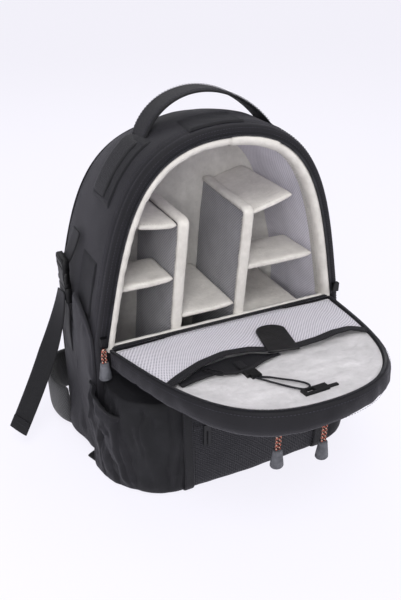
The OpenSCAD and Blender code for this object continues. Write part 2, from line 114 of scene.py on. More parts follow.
def out_normals(line):
    """Unit normals in the plane of an X-Z line that runs from the right side over the top to the left."""
    run = np.gradient(line, axis=0)
    return unit(np.stack([run[:, 1], -run[:, 0]], 1))


def upright(flat):
    """X-Z directions as directions in space."""
    return np.stack([flat[:, 0], np.zeros(len(flat)), flat[:, 1]], 1)


def closed_rings(rows):
    """Rings of points, each ending where it began."""
    rows = np.array(rows)
    return np.concatenate([rows, rows[:, :1]], axis=1)


def arch_base(n):
    """Right hinge corner, over the top, to the left hinge corner."""
    right = bezier(ARCH, np.linspace(0, 1, 80)) + (0, HINGE_Z)
    return resample(np.vstack([right, right[-2::-1] * (-1, 1)]), n)


def ring_base(n):
    """The bag's outer outline, from the middle of the base to the right, up, over and down the left."""
    corner = [(LOWER_HALF - BASE_R + BASE_R * math.cos(a), BASE_R + BASE_R * math.sin(a))
              for a in np.linspace(-math.pi / 2, 0, 12)]
    arch = bezier(ARCH, np.linspace(0, 1, 60)) + (0, HINGE_Z)
    arch = arch + 12 * out_normals(arch)
    right = np.vstack([[(0, 0), (60, 0)], corner, [(LOWER_HALF, FLARE_Z)], [(153.4, 115)], arch])
    return resample(np.vstack([right, right[-2::-1] * (-1, 1)]), n)


def dropped(xz, y):
    """X-Z points as they stand at depth y, where the arch is lower towards the back."""
    k = 1 - np.interp(y, DROP_AT, DROP_SHARE)
    z = np.where(xz[..., 1] > HINGE_Z, HINGE_Z + k * (xz[..., 1] - HINGE_Z), xz[..., 1])
    return np.stack([xz[..., 0], np.broadcast_to(y, z.shape), z], -1)


def opened(x, out, d):
    """From the closed flap's width, distance outwards and distance from the hinge, to its open place."""
    x, out, d = np.broadcast_arrays(np.asarray(x, float), np.asarray(out, float), np.asarray(d, float))
    return np.stack([x, AXIS_Y - out * math.cos(TURN) - d * math.sin(TURN),
                     AXIS_Z - out * math.sin(TURN) + d * math.cos(TURN)], -1)


def bumps(points, size, seed=0.0):
    """Smooth noise from -1 to 1 at each point, with features about size millimetres across."""
    shift = Vector((seed * 17.3, seed * 5.1, -seed * 9.7))
    flat = np.asarray(points, float).reshape(-1, 3)
    return np.array([noise.noise(Vector(p / size) + shift)
                     for p in flat]).reshape(np.asarray(points).shape[:-1])


def grooves(u, v, lines, deep=1.8, wide=1.5):
    """Folds along polylines drawn on a cloth: a narrow valley with a soft swell beside it."""
    total = np.zeros(np.broadcast_shapes(np.shape(u), np.shape(v)))
    for line in lines:
        nearest, side = np.full(total.shape, 1e9), np.zeros(total.shape)
        for (x0, y0), (x1, y1) in zip(line, line[1:]):
            dx, dy = x1 - x0, y1 - y0
            t = np.clip(((u - x0) * dx + (v - y0) * dy) / (dx * dx + dy * dy), 0, 1)
            away = np.hypot(u - x0 - t * dx, v - y0 - t * dy)
            closer = away < nearest
            side = np.where(closer, np.sign((u - x0) * dy - (v - y0) * dx), side)
            nearest = np.where(closer, away, nearest)
        total += -deep * np.exp(-(nearest / wide) ** 2)
        total += deep * 0.9 * np.exp(-((side * nearest - 3.2 * wide) / (2.2 * wide)) ** 2)
    return total


def creases(points, size, seed=0.0):
    """Sharp valleys between soft swells, from about -1 to 1."""
    return np.clip(3.2 * np.abs(bumps(points, size, seed)), 0, 2) - 1


# ---------------------------------------------------------------- meshes
def finish_object(ob, material, body, replaced=()):
    """Gives a piece its material, its body and the solids that it replaces."""
    ob.data.materials.append(material)
    if body:
        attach(ob, body)
    if replaced:
        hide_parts(*replaced)
    return ob


def new_mesh(name, verts, faces, smooth=True):
    data = bpy.data.meshes.new(name)
    data.from_pydata([tuple(float(c) * MM for c in v) for v in verts], [],
                     [tuple(int(i) for i in f) for f in faces])
    if smooth:
        data.polygons.foreach_set("use_smooth", [True] * len(data.polygons))
    data.update()
    ob = bpy.data.objects.new(name, data)
    bpy.context.collection.objects.link(ob)
    return ob


def grid_quads(rows, cols, wrap_cols=False):
    quads = []
    for i in range(rows - 1):
        for j in range(cols if wrap_cols else cols - 1):
            k = (j + 1) % cols
            quads.append((i * cols + j, i * cols + k, (i + 1) * cols + k, (i + 1) * cols + j))
    return quads


def set_uv(ob, uv):
    """uv holds one pair for each vertex, in metres along the cloth."""
    layer = ob.data.uv_layers.new(name="cloth")
    index = np.zeros(len(ob.data.loops), int)
    ob.data.loops.foreach_get("vertex_index", index)
    layer.data.foreach_set("uv", (np.asarray(uv)[index] * MM).astype(np.float32).ravel())


def grid(name, points, flip=False):
    """A sheet from an array of rows of points, with its weave laid along its own rows and columns."""
    p = np.asarray(points, float)
    rows, cols = p.shape[:2]
    quads = grid_quads(rows, cols)
    if flip:
        quads = [q[::-1] for q in quads]
    ob = new_mesh(name, p.reshape(-1, 3), quads)
    across = np.linalg.norm(np.diff(p, axis=1), axis=2).mean(0)
    along = np.linalg.norm(np.diff(p, axis=0), axis=2).max(1)
    u, v = np.r_[0, np.cumsum(across)], np.r_[0, np.cumsum(along)]
    set_uv(ob, np.stack(np.broadcast_arrays(u[None, :], v[:, None]), -1).reshape(-1, 2))
    return ob


def capped_rings(name, rings, m):
    """A tube through rings of m points each, closed at both ends."""
    faces = grid_quads(len(rings), m, wrap_cols=True)
    faces += [tuple(range(m))[::-1], tuple((len(rings) - 1) * m + k for k in range(m))]
    return new_mesh(name, np.vstack(rings), faces)


def frames_along(path, up):
    """Run, side and up directions at each point of a path; up is roughly square to it."""
    run = unit(np.gradient(path, axis=0))
    side = unit(np.cross(run, np.broadcast_to(up, run.shape)))
    return run, side, np.cross(side, run)


def sweep(name, path, section, up, ends=0.35, scale=None):
    """A closed section of (side, up) points carried along a path. The ends close to a smaller ring."""
    path = np.asarray(path, float)
    section = np.asarray(section, float)
    run, side, top = frames_along(path, up)
    if scale is None:
        scale = np.ones(len(path))
    rings = []
    for i, p in enumerate(path):
        s = section * scale[i]
        rings.append(p + s[:, :1] * side[i] + s[:, 1:] * top[i])
    m = len(section)
    half = np.abs(section).min(axis=0).max() + 0.2
    rings.insert(0, path[0] - run[0] * half * 0.5 + (rings[0] - path[0]) * ends)
    rings.append(path[-1] + run[-1] * half * 0.5 + (rings[-1] - path[-1]) * ends)
    ob = capped_rings(name, rings, m)
    length = np.r_[0, np.cumsum(np.linalg.norm(np.diff(path, axis=0), axis=1))]
    length = np.r_[length[0], length, length[-1]]
    round_it = np.r_[0, np.cumsum(np.linalg.norm(np.diff(section, axis=0), axis=1))]
    uv = np.stack(np.broadcast_arrays(round_it[None, :], length[:, None]), -1).reshape(-1, 2)
    set_uv(ob, uv)
    return ob


def web_section(width, thick, across=14):
    """Cross-section of woven webbing: flat, with thinner rounded selvedges and a slight rib."""
    xs = np.linspace(-1, 1, across)
    half = thick / 2 * np.clip(1.25 - np.abs(xs) ** 6, 0.35, 1.0)
    top = [(x * width / 2, h) for x, h in zip(xs, half)]
    return top[::-1] + [(x, -h) for x, h in top]


def tube(name, path, r, n=10):
    p = np.asarray(path, float)
    spread = p.max(0) - p.min(0)
    up = np.zeros(3)
    up[int(np.argmin(spread))] = 1
    section = [(r * math.cos(a), r * math.sin(a)) for a in np.linspace(0, 2 * math.pi, n, endpoint=False)]
    return sweep(name, p, section, up + 0.013)


def board(name, place, la, lb, thick, na=30, nb=30, power=9.0):
    """A padded board with seamed edges. place(a, b, c) is the point a along, b across and c off the middle."""
    ua = -np.cos(np.linspace(0, math.pi, na))
    ub = -np.cos(np.linspace(0, math.pi, nb))
    a, b = np.meshgrid(ua, ub, indexing="ij")
    half = thick / 2 * (np.clip(1 - np.abs(a) ** power, 0, 1) * np.clip(1 - np.abs(b) ** power, 0,
                                                                        1)) ** (1 / 2.6)
    top = place((a + 1) / 2 * la, (b + 1) / 2 * lb, half)
    low = place((a + 1) / 2 * la, (b + 1) / 2 * lb, -half)
    n = na * nb
    quads = grid_quads(na, nb)
    ob = new_mesh(name, np.vstack([top.reshape(-1, 3), low.reshape(-1, 3)]),
                  quads + [tuple(n + i for i in q[::-1]) for q in quads])
    uv = np.stack([(a + 1) / 2 * la, (b + 1) / 2 * lb], -1).reshape(-1, 2)
    set_uv(ob, np.vstack([uv, uv]))
    return ob


def merge_close(ob, distance=0.05):
    """Joins vertices that lie within distance of each other, and turns every face outwards."""
    bm = bmesh.new()
    bm.from_mesh(ob.data)
    bmesh.ops.remove_doubles(bm, verts=bm.verts, dist=distance * MM)
    bmesh.ops.recalc_face_normals(bm, faces=bm.faces)
    bm.to_mesh(ob.data)
    bm.free()
    ob.data.polygons.foreach_set("use_smooth", [True] * len(ob.data.polygons))
    return ob


def nudge(ob, move):
    """Moves each vertex by move(points), in millimetres."""
    co = np.empty(len(ob.data.vertices) * 3)
    ob.data.vertices.foreach_get("co", co)
    co = co.reshape(-1, 3)
    co += move(co * 1000) * MM
    ob.data.vertices.foreach_set("co", co.ravel())


STITCH = {}


def stitch(group, path, normal, pitch=3.2, length=2.3, r=0.3, lift=0.15):
    """Adds a row of thread stitches along a path; each group becomes one object later."""
    path = np.asarray(path, float)
    total = np.linalg.norm(np.diff(path, axis=0), axis=1).sum()
    count = max(2, int(total / pitch))
    fine = resample(path, count * 2 + 1)
    normal = np.asarray(normal, float)
    if normal.ndim == 2:
        normal = resample(normal, count * 2 + 1)
    for k in range(count):
        a, m, b = fine[2 * k], fine[2 * k + 1], fine[min(2 * k + 2, 2 * count)]
        n = normal[2 * k + 1] if normal.ndim == 2 else normal
        n = n / np.linalg.norm(n)
        run = (b - a) / max(np.linalg.norm(b - a), 1e-6)
        side = np.cross(run, n)
        m = m + n * lift
        verts, faces = STITCH.setdefault(group, ([], []))
        s = len(verts)
        verts.append(m - run * length / 2)
        for t in (-0.28, 0.28):
            for c, d in ((1, 0), (0, 1), (-1, 0), (0, -1)):
                verts.append(m + run * length * t + side * r * c + n * r * 0.8 * d)
        verts.append(m + run * length / 2)
        for j in range(4):
            faces.append((s, s + 1 + (j + 1) % 4, s + 1 + j))
            faces.append((s + 1 + j, s + 1 + (j + 1) % 4, s + 5 + (j + 1) % 4, s + 5 + j))
            faces.append((s + 9, s + 5 + j, s + 5 + (j + 1) % 4))


# ---------------------------------------------------------------- materials
class Graph:
    """Small helper that builds a node material."""

    def __init__(self, name):
        self.material = bpy.data.materials.new(name)
        self.material.use_nodes = True
        self.tree = self.material.node_tree
        self.shader = self.tree.nodes["Principled BSDF"]

    def put(self, socket, value):
        if hasattr(value, "is_output"):
            self.tree.links.new(value, socket)
        else:
            socket.default_value = value

    def node(self, kind, inputs=(), **settings):
        """A node with its settings made, and its inputs linked or set."""
        made = self.tree.nodes.new("ShaderNode" + kind)
        for key, value in settings.items():
            setattr(made, key, value)
        for key, value in dict(inputs).items():
            self.put(made.inputs[key], value)
        return made

    def math(self, operation, a, b=0.0):
        return self.node("Math", enumerate((a, b)), operation=operation).outputs[0]

    def times(self, a, b):
        return self.math("MULTIPLY", a, b)

    def total(self, *parts):
        """The sum of parts, each a socket or number with its weight."""
        terms = [value if weight == 1 else self.times(value, weight) for value, weight in parts]
        result = terms[0]
        for term in terms[1:]:
            result = self.math("ADD", result, term)
        return result

    def mix(self, factor, a, b):
        return self.node("Mix", {0: factor, 6: a, 7: b}, data_type="RGBA").outputs[2]

    def noise(self, scale, detail=3.0):
        place = self.coords("Object")
        return self.node("TexNoise", {"Vector": place, "Scale": scale, "Detail": detail}).outputs[0]

    def coords(self, kind):
        return self.node("TexCoord").outputs[kind]

    def split(self, vector):
        return self.node("SeparateXYZ", {0: vector}).outputs

    def ramp(self, value, low, high):
        return self.node("MapRange", {0: value, 1: low, 2: high}).outputs[0]

    def finish(self, color, roughness, height, strength, distance, **levels):
        """Sets the shader; levels are its other inputs, with _ for each space in a name."""
        self.put(self.shader.inputs["Base Color"], color)
        self.put(self.shader.inputs["Roughness"], roughness)
        for key, value in levels.items():
            self.shader.inputs[key.replace("_", " ")].default_value = value
        bump = self.node("Bump", {"Strength": strength, "Distance": distance, "Height": height})
        self.tree.links.new(bump.outputs[0], self.shader.inputs["Normal"])
        return self.material


def rgba(hex_color):
    def linear(v):
        v /= 255
        return v / 12.92 if v <= 0.04045 else ((v + 0.055) / 1.055) ** 2.4
    return tuple(linear(int(hex_color[i:i + 2], 16)) for i in (1, 3, 5)) + (1.0,)


def flat_axes(g, flat="cloth"):
    """A pattern's two coordinates, in metres: the cloth's own, or on a solid the two in its faces."""
    if flat == "cloth":
        s = g.split(g.coords("UV"))
        return s[0], s[1]
    p = g.split(g.coords("Object"))
    n = g.split(g.node("NewGeometry").outputs["True Normal"])
    ax, ay, az = (g.math("ABSOLUTE", n[k]) for k in range(3))
    side = g.math("GREATER_THAN", ax, g.math("MAXIMUM", ay, az))
    level = g.math("GREATER_THAN", az, g.math("MAXIMUM", ax, ay))
    u = g.total((p[0], g.math("SUBTRACT", 1.0, side)), (p[1], side))
    v = g.total((p[2], g.math("SUBTRACT", 1.0, level)), (p[1], level))
    return u, v


def weave_height(g, u, v, cell, cell_v=None):
    """Over-and-under threads in cells of that size, in metres."""
    cu, cv = g.times(u, 1 / cell), g.times(v, 1 / (cell_v or cell))
    su, sv = (g.math("ABSOLUTE", g.math("SINE", g.times(c, math.pi))) for c in (cu, cv))
    odd = g.math("MODULO", g.math("ADD", g.math("FLOOR", cu), g.math("FLOOR", cv)), 2.0)
    odd = g.math("ABSOLUTE", odd)
    across = g.total((su, odd), (sv, g.math("SUBTRACT", 1.0, odd)))
    return g.total((across, 0.6), (g.times(su, sv), 0.4))


def woven(name, dark, light, cell, rough=0.8, sheen=0.25, strength=0.5, flat="cloth", cell_v=None, patch=0.5):
    """Plain-woven cloth: threads, a little uneven dye, and dusty sheen. The colour is also darker between the
    threads and lighter on their crests, following the weave's height: painted shade.
    """
    g = Graph(name)
    u, v = flat_axes(g, flat)
    height = weave_height(g, u, v, cell, cell_v)
    cloud, fine = g.noise(28.0, 4.0), g.noise(900.0, 2.0)
    # tone: painted shade from the weave's height (darker between threads), mixed with uneven dye from the
    # cloud noise
    tone = g.total((height, 1 - patch), (g.ramp(cloud, 0.3, 0.7), patch))
    tone = g.total((tone, 0.8), (fine, 0.2))
    return g.finish(g.mix(tone, rgba(dark), rgba(light)), rough, g.total((height, 1), (fine, 0.5)), strength,
                    cell * 0.3, Sheen_Weight=sheen, Sheen_Roughness=0.5, Sheen_Tint=(0.8, 0.78, 0.9, 1),
                    Specular_IOR_Level=0.3)


def satin(name, dark, light, rough=0.42):
    """Thin lining cloth drawn over foam: fine threads, soft puckers and a satin gloss. The colour is lighter
    on the crests of the puckers and darker in their hollows, from the same noise as their height: painted
    highlight and shade.
    """
    g = Graph(name)
    height = weave_height(g, *flat_axes(g), 0.0005)
    wide, narrow = g.noise(55.0, 5.0), g.noise(170.0, 4.0)
    # tone follows the pucker noise: painted highlight on the crests and painted shade in the hollows
    tone = g.total((g.ramp(wide, 0.3, 0.7), 0.6), (g.ramp(narrow, 0.3, 0.7), 0.4))
    return g.finish(g.mix(tone, rgba(dark), rgba(light)), g.total((rough - 0.08, 1), (narrow, 0.16)),
                    g.total((wide, 3.0), (narrow, 1), (height, 0.12)), 0.5, 0.0012,
                    Sheen_Weight=0.15, Sheen_Roughness=0.4, Specular_IOR_Level=0.45)


def ribbed(name, dark, light, pitch):
    """Brushed loop cloth with fine slanting ribs. The colour is darker in the valleys between the ribs and
    lighter on them, following their height: painted shade; the cloud adds uneven tone.
    """
    g = Graph(name)
    u, v = flat_axes(g)
    rib = g.math("SINE", g.times(g.math("ADD", u, v), 2 * math.pi / pitch))
    cross = g.math("SINE", g.times(g.math("SUBTRACT", v, u), 2 * math.pi / (pitch * 0.7)))
    fuzz, cloud = g.noise(1400.0, 2.0), g.noise(40.0)
    height = g.total((rib, 0.35), (cross, 0.12), (0.5, 1), (g.math("SUBTRACT", fuzz, 0.5), 0.5))
    # tone: painted shade from the rib height (darker in the valleys), with uneven tone from the cloud noise
    tone = g.total((height, 0.75), (g.ramp(cloud, 0.3, 0.7), 0.25))
    return g.finish(g.mix(tone, rgba(dark), rgba(light)), 0.9, height, 0.55, 0.0006,
                    Sheen_Weight=0.3, Sheen_Roughness=0.6)


def netting(name, dark, light, pitch, hole=0.3):
    """Knitted spacer mesh: rows of small round holes, every other row shifted by half. The holes are painted
    in the darker colour: painted shade in them.
    """
    g = Graph(name)
    u, v = flat_axes(g)

    def nearest(shift):
        p, q = (g.math("SUBTRACT", g.math("FRACT", g.total((c, 1 / step), (50 + shift, 1))), 0.5)
                for c, step in ((u, pitch), (v, pitch * 1.45)))
        return g.math("SQRT", g.total((p, p), (g.times(q, q), 1.7)))
    gap = g.math("MINIMUM", nearest(0.0), nearest(0.5))
    solid = g.ramp(gap, hole - 0.1, hole + 0.08)
    fine = g.noise(1200.0, 2.0)
    # holes take the dark colour and the threads the light one: painted shade in the holes
    tone = g.total((solid, 0.85), (fine, 0.15))
    return g.finish(g.mix(tone, rgba(dark), rgba(light)), 0.7, g.total((solid, 1), (fine, 0.3)), 0.7, 0.0008,
                    Sheen_Weight=0.2)


def webbing(name, dark, light, flat="cloth"):
    """Woven polyester webbing with ribs along it."""
    return woven(name, dark, light, 0.0011, 0.62, 0.06, 0.8, flat, 0.00209, 0.25)


def moulded(name, dark, light, rough=0.42, grain=900.0, metallic=0.0, spec=0.5):
    """Moulded plastic, rubber or painted metal: fine grain, with scuffed lighter patches."""
    g = Graph(name)
    fine, wear = g.noise(grain), g.noise(120.0, 5.0)
    return g.finish(g.mix(g.ramp(wear, 0.35, 0.75), rgba(dark), rgba(light)), g.total((rough - 0.1, 1),
        (wear, 0.25)),
                    fine, 0.35, 0.0003, Metallic=metallic, Specular_IOR_Level=spec)


def leather(name, dark, light):
    g = Graph(name)
    cells = g.node("TexVoronoi", {"Vector": g.coords("Object"), "Scale": 900}).outputs[0]
    wear = g.noise(90.0, 4.0)
    return g.finish(g.mix(wear, rgba(dark), rgba(light)), g.total((0.34, 1), (wear, 0.3)),
                    g.math("ADD", cells, wear), 0.5, 0.0004)


def braid(name):
    """Round cord braided from dark, red and pale strands."""
    g = Graph(name)
    u, v = flat_axes(g)
    cu, cv = g.times(u, 1 / 0.00408), g.times(v, 1 / 0.0046)
    one = g.math("FRACT", g.total((cu, 1), (cv, 1), (40.0, 1)))
    two = g.math("FRACT", g.math("ADD", g.math("SUBTRACT", cv, cu), 40.0))
    red = g.times(g.math("GREATER_THAN", one, 0.55), g.math("GREATER_THAN", two, 0.35))
    pale = g.times(g.math("LESS_THAN", one, 0.4), g.math("GREATER_THAN", two, 0.5))
    base = g.mix(red, rgba("#1b1718"), rgba("#b5503f"))
    return g.finish(g.mix(pale, base, rgba("#d9b9a6")), 0.85, weave_height(g, u, v, 0.0007), 0.8, 0.0004)


M_NYLON = woven("nylon", "#0b0a0f", "#151419", 0.0009, rough=0.7, sheen=0.08, strength=0.45)
M_NYLON_DARK = woven("nylon_dark", "#08080b", "#0f0f14", 0.0009, rough=0.7, sheen=0.05, strength=0.45)
M_BALLISTIC = woven("ballistic", "#07070a", "#18181f", 0.0027, rough=0.58, sheen=0.05, strength=0.9,
                    patch=0.15)
M_WEB = webbing("webbing_cloth", "#060608", "#0d0d11")
M_WEB_CAD = webbing("webbing_solid", "#0b0b0f", "#17171d", flat="solid")
M_SATIN = satin("satin_pale", "#c2beb8", "#dcd8d2")
M_SATIN_FLAP = satin("satin_flap", "#cdcbcc", "#e8e5e7", rough=0.38)
M_BACKING = satin("satin_grey", "#cbc8c3", "#e6e3de", rough=0.5)
M_WALL = ribbed("loop_wall", "#b6b2bf", "#ece8f4", pitch=0.0036)
M_LOOP = ribbed("loop_grey", "#4c4a4e", "#95939a", pitch=0.0038)
M_NET = netting("net_pale", "#9a96a4", "#ece9f1", pitch=0.0036, hole=0.26)
M_PAD = netting("pad_mesh", "#060608", "#17171c", pitch=0.0042)
M_COIL = moulded("coil", "#17171b", "#303036", rough=0.35)
M_TAPE = woven("tape", "#08080b", "#121218", 0.0007, rough=0.75, sheen=0.04)
M_SLIDER = moulded("slider_paint", "#0c0c0e", "#1d1d21", rough=0.3, metallic=0.4)
M_PLASTIC = moulded("buckle_plastic", "#050506", "#0d0d10", rough=0.5, spec=0.3)
M_RUBBER = moulded("rubber_grey", "#3c3d42", "#6a6b71", rough=0.6)
M_LEATHER = leather("leather_black", "#08080a", "#151518")
M_BRAID = braid("braid")
M_THREAD = moulded("thread_dark", "#26252d", "#3a3844", rough=0.8, grain=1500.0)
M_THREAD_PALE = moulded("thread_pale", "#a5a39f", "#c9c7c2", rough=0.8, grain=1500.0)
M_CORD = woven("cord_black", "#0b0b0d", "#1c1c21", 0.0006, rough=0.7, sheen=0.1)
SLOTS = {"black_nylon": (M_NYLON, M_NYLON_DARK, M_BALLISTIC, M_THREAD), "black_webbing": (M_WEB,),
         "pale_lining": (M_SATIN, M_SATIN_FLAP, M_LOOP, M_THREAD_PALE), "grey_lining": (M_BACKING, M_WALL),
         "grey_mesh": (M_NET,), "padded_mesh": (M_PAD,), "zip_coil": (M_COIL, M_TAPE),
         "zip_slider": (M_SLIDER,),
         "black_plastic": (M_PLASTIC,), "grey_rubber": (M_RUBBER,), "black_leather": (M_LEATHER,),
         "patterned_cord": (M_BRAID,), "black_cord": (M_CORD,)}
SLOT_OF = {material.name: slot for slot, materials in SLOTS.items() for material in materials}


# ---------------------------------------------------------------- cords first
def web(name, path, width, thick, up, body, replaced=(), across=12, ends=0.9):
    """A run of flat webbing."""
    ob = sweep(name, np.asarray(path, float), web_section(width, thick, across), up, ends=ends)
    return finish_object(ob, M_WEB, body, replaced)


def pull(names, top, drop, route, body, nodes):
    """A doubled pull cord that hangs from top, with its end."""
    base = np.array(top) - (0, 0, drop)
    path = smooth_path([base + p for p in np.array(route, float)], 40)
    cord = finish_object(tube(names[0], path, 1.3, 10), M_BRAID, body, [nodes[0]])
    end = pull_end(names[1], base, body, nodes[1])


def pull_end(name, top, body, node):
    """Soft grip that widens to a flat foot, with a collar at the top and grip rings at the bottom."""
    profile = [(1.2, 0.4), (3.9, 0.2), (4.6, -0.6), (4.85, -1.7), (4.7, -2.2), (5.0, -3.6), (5.6, -8.2),
               (6.25, -12.7), (6.4, -13.8),
               (6.2, -14.4), (6.55, -15.1), (6.7, -16.4), (6.5, -16.8), (6.8, -17.5), (6.9, -18.8),
               (6.4, -19.7), (5, -20), (0.2, -19.9)]
    n = 24
    rings = [[(top[0] + r * math.cos(a), top[1] + 0.86 * r * math.sin(a), top[2] + z)
              for a in np.linspace(0, 2 * math.pi, n, endpoint=False)] for r, z in profile]
    faces = [q[::-1] for q in grid_quads(len(profile), n, wrap_cols=True)]
    faces += [tuple(range(n)), tuple((len(profile) - 1) * n + k for k in range(n))[::-1]]
    ob = new_mesh(name, np.array(rings).reshape(-1, 3), faces)
    return finish_object(merge_close(ob, 0.01), M_RUBBER, body, [node])


def pull_route(h):
    side = [(-1.6, 0, 0), (-1.7, 0, h - 28), (-1.8, 0, h - 16), (-1.8, 0, h - 6), (-1.2, 0, h - 2)]
    return side + [(0, 0, h)] + [(-x, y, z) for x, y, z in side[::-1]]


MAIN_ROUTE = [(-1.6, 0, 0), (-1.8, 0, 6), (-1.7, 0, 11), (-1.1, 0, 15), (0, 0, 16),
              (1.1, 0, 15), (1.7, 0, 11), (1.8, 0, 6), (1.6, 0, 0)]
LEASH = [(-34.8, 2.4, 129.3), (-31, 3, 138), (-25, 3, 149), (-18, 2.8, 160), (-12, 2.6, 168),
         (-7, 2.4, 171.4),
         (-1, 2.4, 169), (-1, 2.6, 163), (-7, 2.8, 154), (-16, 3, 145), (-24, 3, 136), (-31.2, 2.4, 129.3)]


def all_cords():
    for side, x, drop in (("left", -32.0, 31), ("right", 20.0, 40)):
        top = opened(x, 36.1, 166)
        body = "flap_pull_" + side
        pull(("pull_cord_" + side, "pull_end_" + side), top, drop, pull_route(drop), body,
             ("flap_pull_cord_" + side, "flap_pull_end_" + side))
    pull(("main_cord", "main_end"), (-147.0, -75.0, 164.0), 16, MAIN_ROUTE, "main_pull",
         ("main_pull_cord", "main_pull_end"))
    path = smooth_path([opened(x, 7 - h, d) for x, h, d in LEASH], 60)
    leash = finish_object(tube("leash_loop", path, 1.0, 8), M_CORD, "flap", ["leash_cord"])


all_cords()


# ---------------------------------------------------------------- body shell
def ring_at(base, normals, grow, y):
    """The bag's outline at depth y, moved out by grow from its inner line, and never below the ground."""
    points = base + (grow - 12) * normals
    placed = dropped(points, y)
    placed[:, 2] = np.maximum(placed[:, 2], 0.0)
    return placed


def body_shell():
    n = 300
    base = ring_base(n)
    normals = out_normals(base)
    normals[0], normals[-1] = (0, -1), (0, -1)
    rows = [(-63.6, 2.4), (-65.6, 3.0), (-66.8, 4.6), (-67.3, 7.0), (-66.8, 9.3), (-65.2, 11.0),
            (-62.4, 11.9), (-59.6, 12.1),
            (-58.6, 11.7), (-57.6, 12.3), (-54, 12.6)]
    rows += [(y, 12.6 + 1.3 * math.sin(math.pi * (y + 54) / 126) + 0.6 * max(0, (y - 30) / 36))
             for y in np.linspace(-48, 66, 16)]
    rows += [(71, 13.6), (74, 13.2), (75.2, 12.6), (76.4, 13.4), (79, 12.6), (82, 10.0), (84.2, 5.6),
             (85.3, 0.0)]
    points = np.array([ring_at(base, normals, g, y) for y, g in rows])
    last = points[-1]
    centre = np.array((0, 86.0, 168))
    inner = [centre + (last - centre) * f + np.array((0, (1 - f) * 1.2, 0)) for f in (0.93, 0.84, 0.7, 0.5,
        0.3, 0.12, 0.01)]
    points = np.concatenate([points, inner])
    radial = upright(normals)
    wave = 1.3 * bumps(points, 60, 1) + 0.6 * bumps(points, 26, 2)
    crease = bumps(points * (1, 0.45, 1), 15, 3)
    depth = np.clip((points[..., 1] + 60) / 15, 0, 1)
    keep_flat = np.clip(points[..., 2] / 14, 0, 1)
    low = np.clip((210 - points[..., 2]) / 90, 0.2, 1)
    move = (wave + 0.35 * crease * low + 0.9 * low * creases(points * (1, 0.6, 1), 34, 4)) * depth * keep_flat
    points = points + move[..., None] * radial[None]
    points[..., 2] = np.maximum(points[..., 2], 0.15)
    ob = grid("body_shell", points, flip=True)
    finish_object(ob, M_NYLON, "bag", ["gusset", "front_border", "base_panel", "back_panel"])
    # Twin needle lines in front of and behind each seam of the side panel
    for y, grow in ((-61.0, 12.35), (-54.0, 12.95), (-50.5, 13.2), (71.0, 13.9)):
        line = ring_at(base, normals, grow, y)
        pick = line[:, 2] > 12
        stitch("bag", line[pick], radial[pick], pitch=3.4, length=2.4, r=0.32)
    for grow, y in ((9.2, -67.0), (5.6, -67.3)):
        line = ring_at(base, normals, grow, y)
        pick = line[:, 2] > HINGE_Z + 2
        stitch("bag", line[pick], (0, -1, 0.05), pitch=3.2, length=2.2, r=0.28)
    return base, normals


RING, RING_NORMAL = body_shell()


def pipe_round(name, grow, y, r, z_low=6):
    """Covered piping cord sewn into a seam round the bag."""
    line = ring_at(RING, RING_NORMAL, grow, y)
    line = line[line[:, 2] > z_low]
    return finish_object(tube(name, resample(line, 220), r, 8), M_NYLON_DARK, "bag")


pipe_round("piping_back", 13.2, 75.3, 1.7)


# ---------------------------------------------------------------- opening: zip, rim, walls
def coil(name, line_at, count, body):
    """Zip coil: one small loop for each tooth. line_at gives the line's points, run, side and up arrays."""
    width, length = 2.6, 1.5
    points, run, side, up = line_at
    verts, faces = [], []
    for k in np.linspace(0, len(points) - 1, count):
        i = min(int(k), len(points) - 2)
        f = k - i
        p = points[i] * (1 - f) + points[i + 1] * f
        r, s, u = run[i], side[i], up[i]
        start = len(verts)
        for t, w, h in ((-1, 0.9, 0), (-0.55, 1, 0.62), (0.55, 1, 0.62), (1, 0.9, 0)):
            for a in (-1, 1):
                verts.append(p + s * a * width / 2 * w + r * t * length * 0.32 + u * h)
        faces += [(start + 2 * j, start + 2 * j + 1, start + 2 * j + 3, start + 2 * j + 2) for j in range(3)]
        faces += [(start, start + 2, start + 4, start + 6), (start + 1, start + 7, start + 5, start + 3)]
    ob = new_mesh(name, verts, faces, smooth=False)
    return finish_object(ob, M_COIL, body)


def opening_line(grow, y, n=260):
    base = arch_base(n)
    normals = out_normals(base)
    return dropped(base + grow * normals, y), upright(normals)


def opening_zip():
    rows = [opening_line(g, y)[0] for g, y in ((5.2, -66.9), (3.8, -67.2), (2.2, -67.4), (0.9, -67.0),
                                               (0.3, -65.6))]
    tape = grid("zip_tape_body", np.array(rows), flip=True)
    finish_object(tape, M_TAPE, "bag", ["body_zip"])
    line, radial = opening_line(1.5, -67.5, 400)
    run = unit(np.gradient(line, axis=0))
    coil("zip_coil_body", (line, run, radial, np.tile((0.0, -1.0, 0.0), (400, 1))), 520, "bag")


opening_zip()


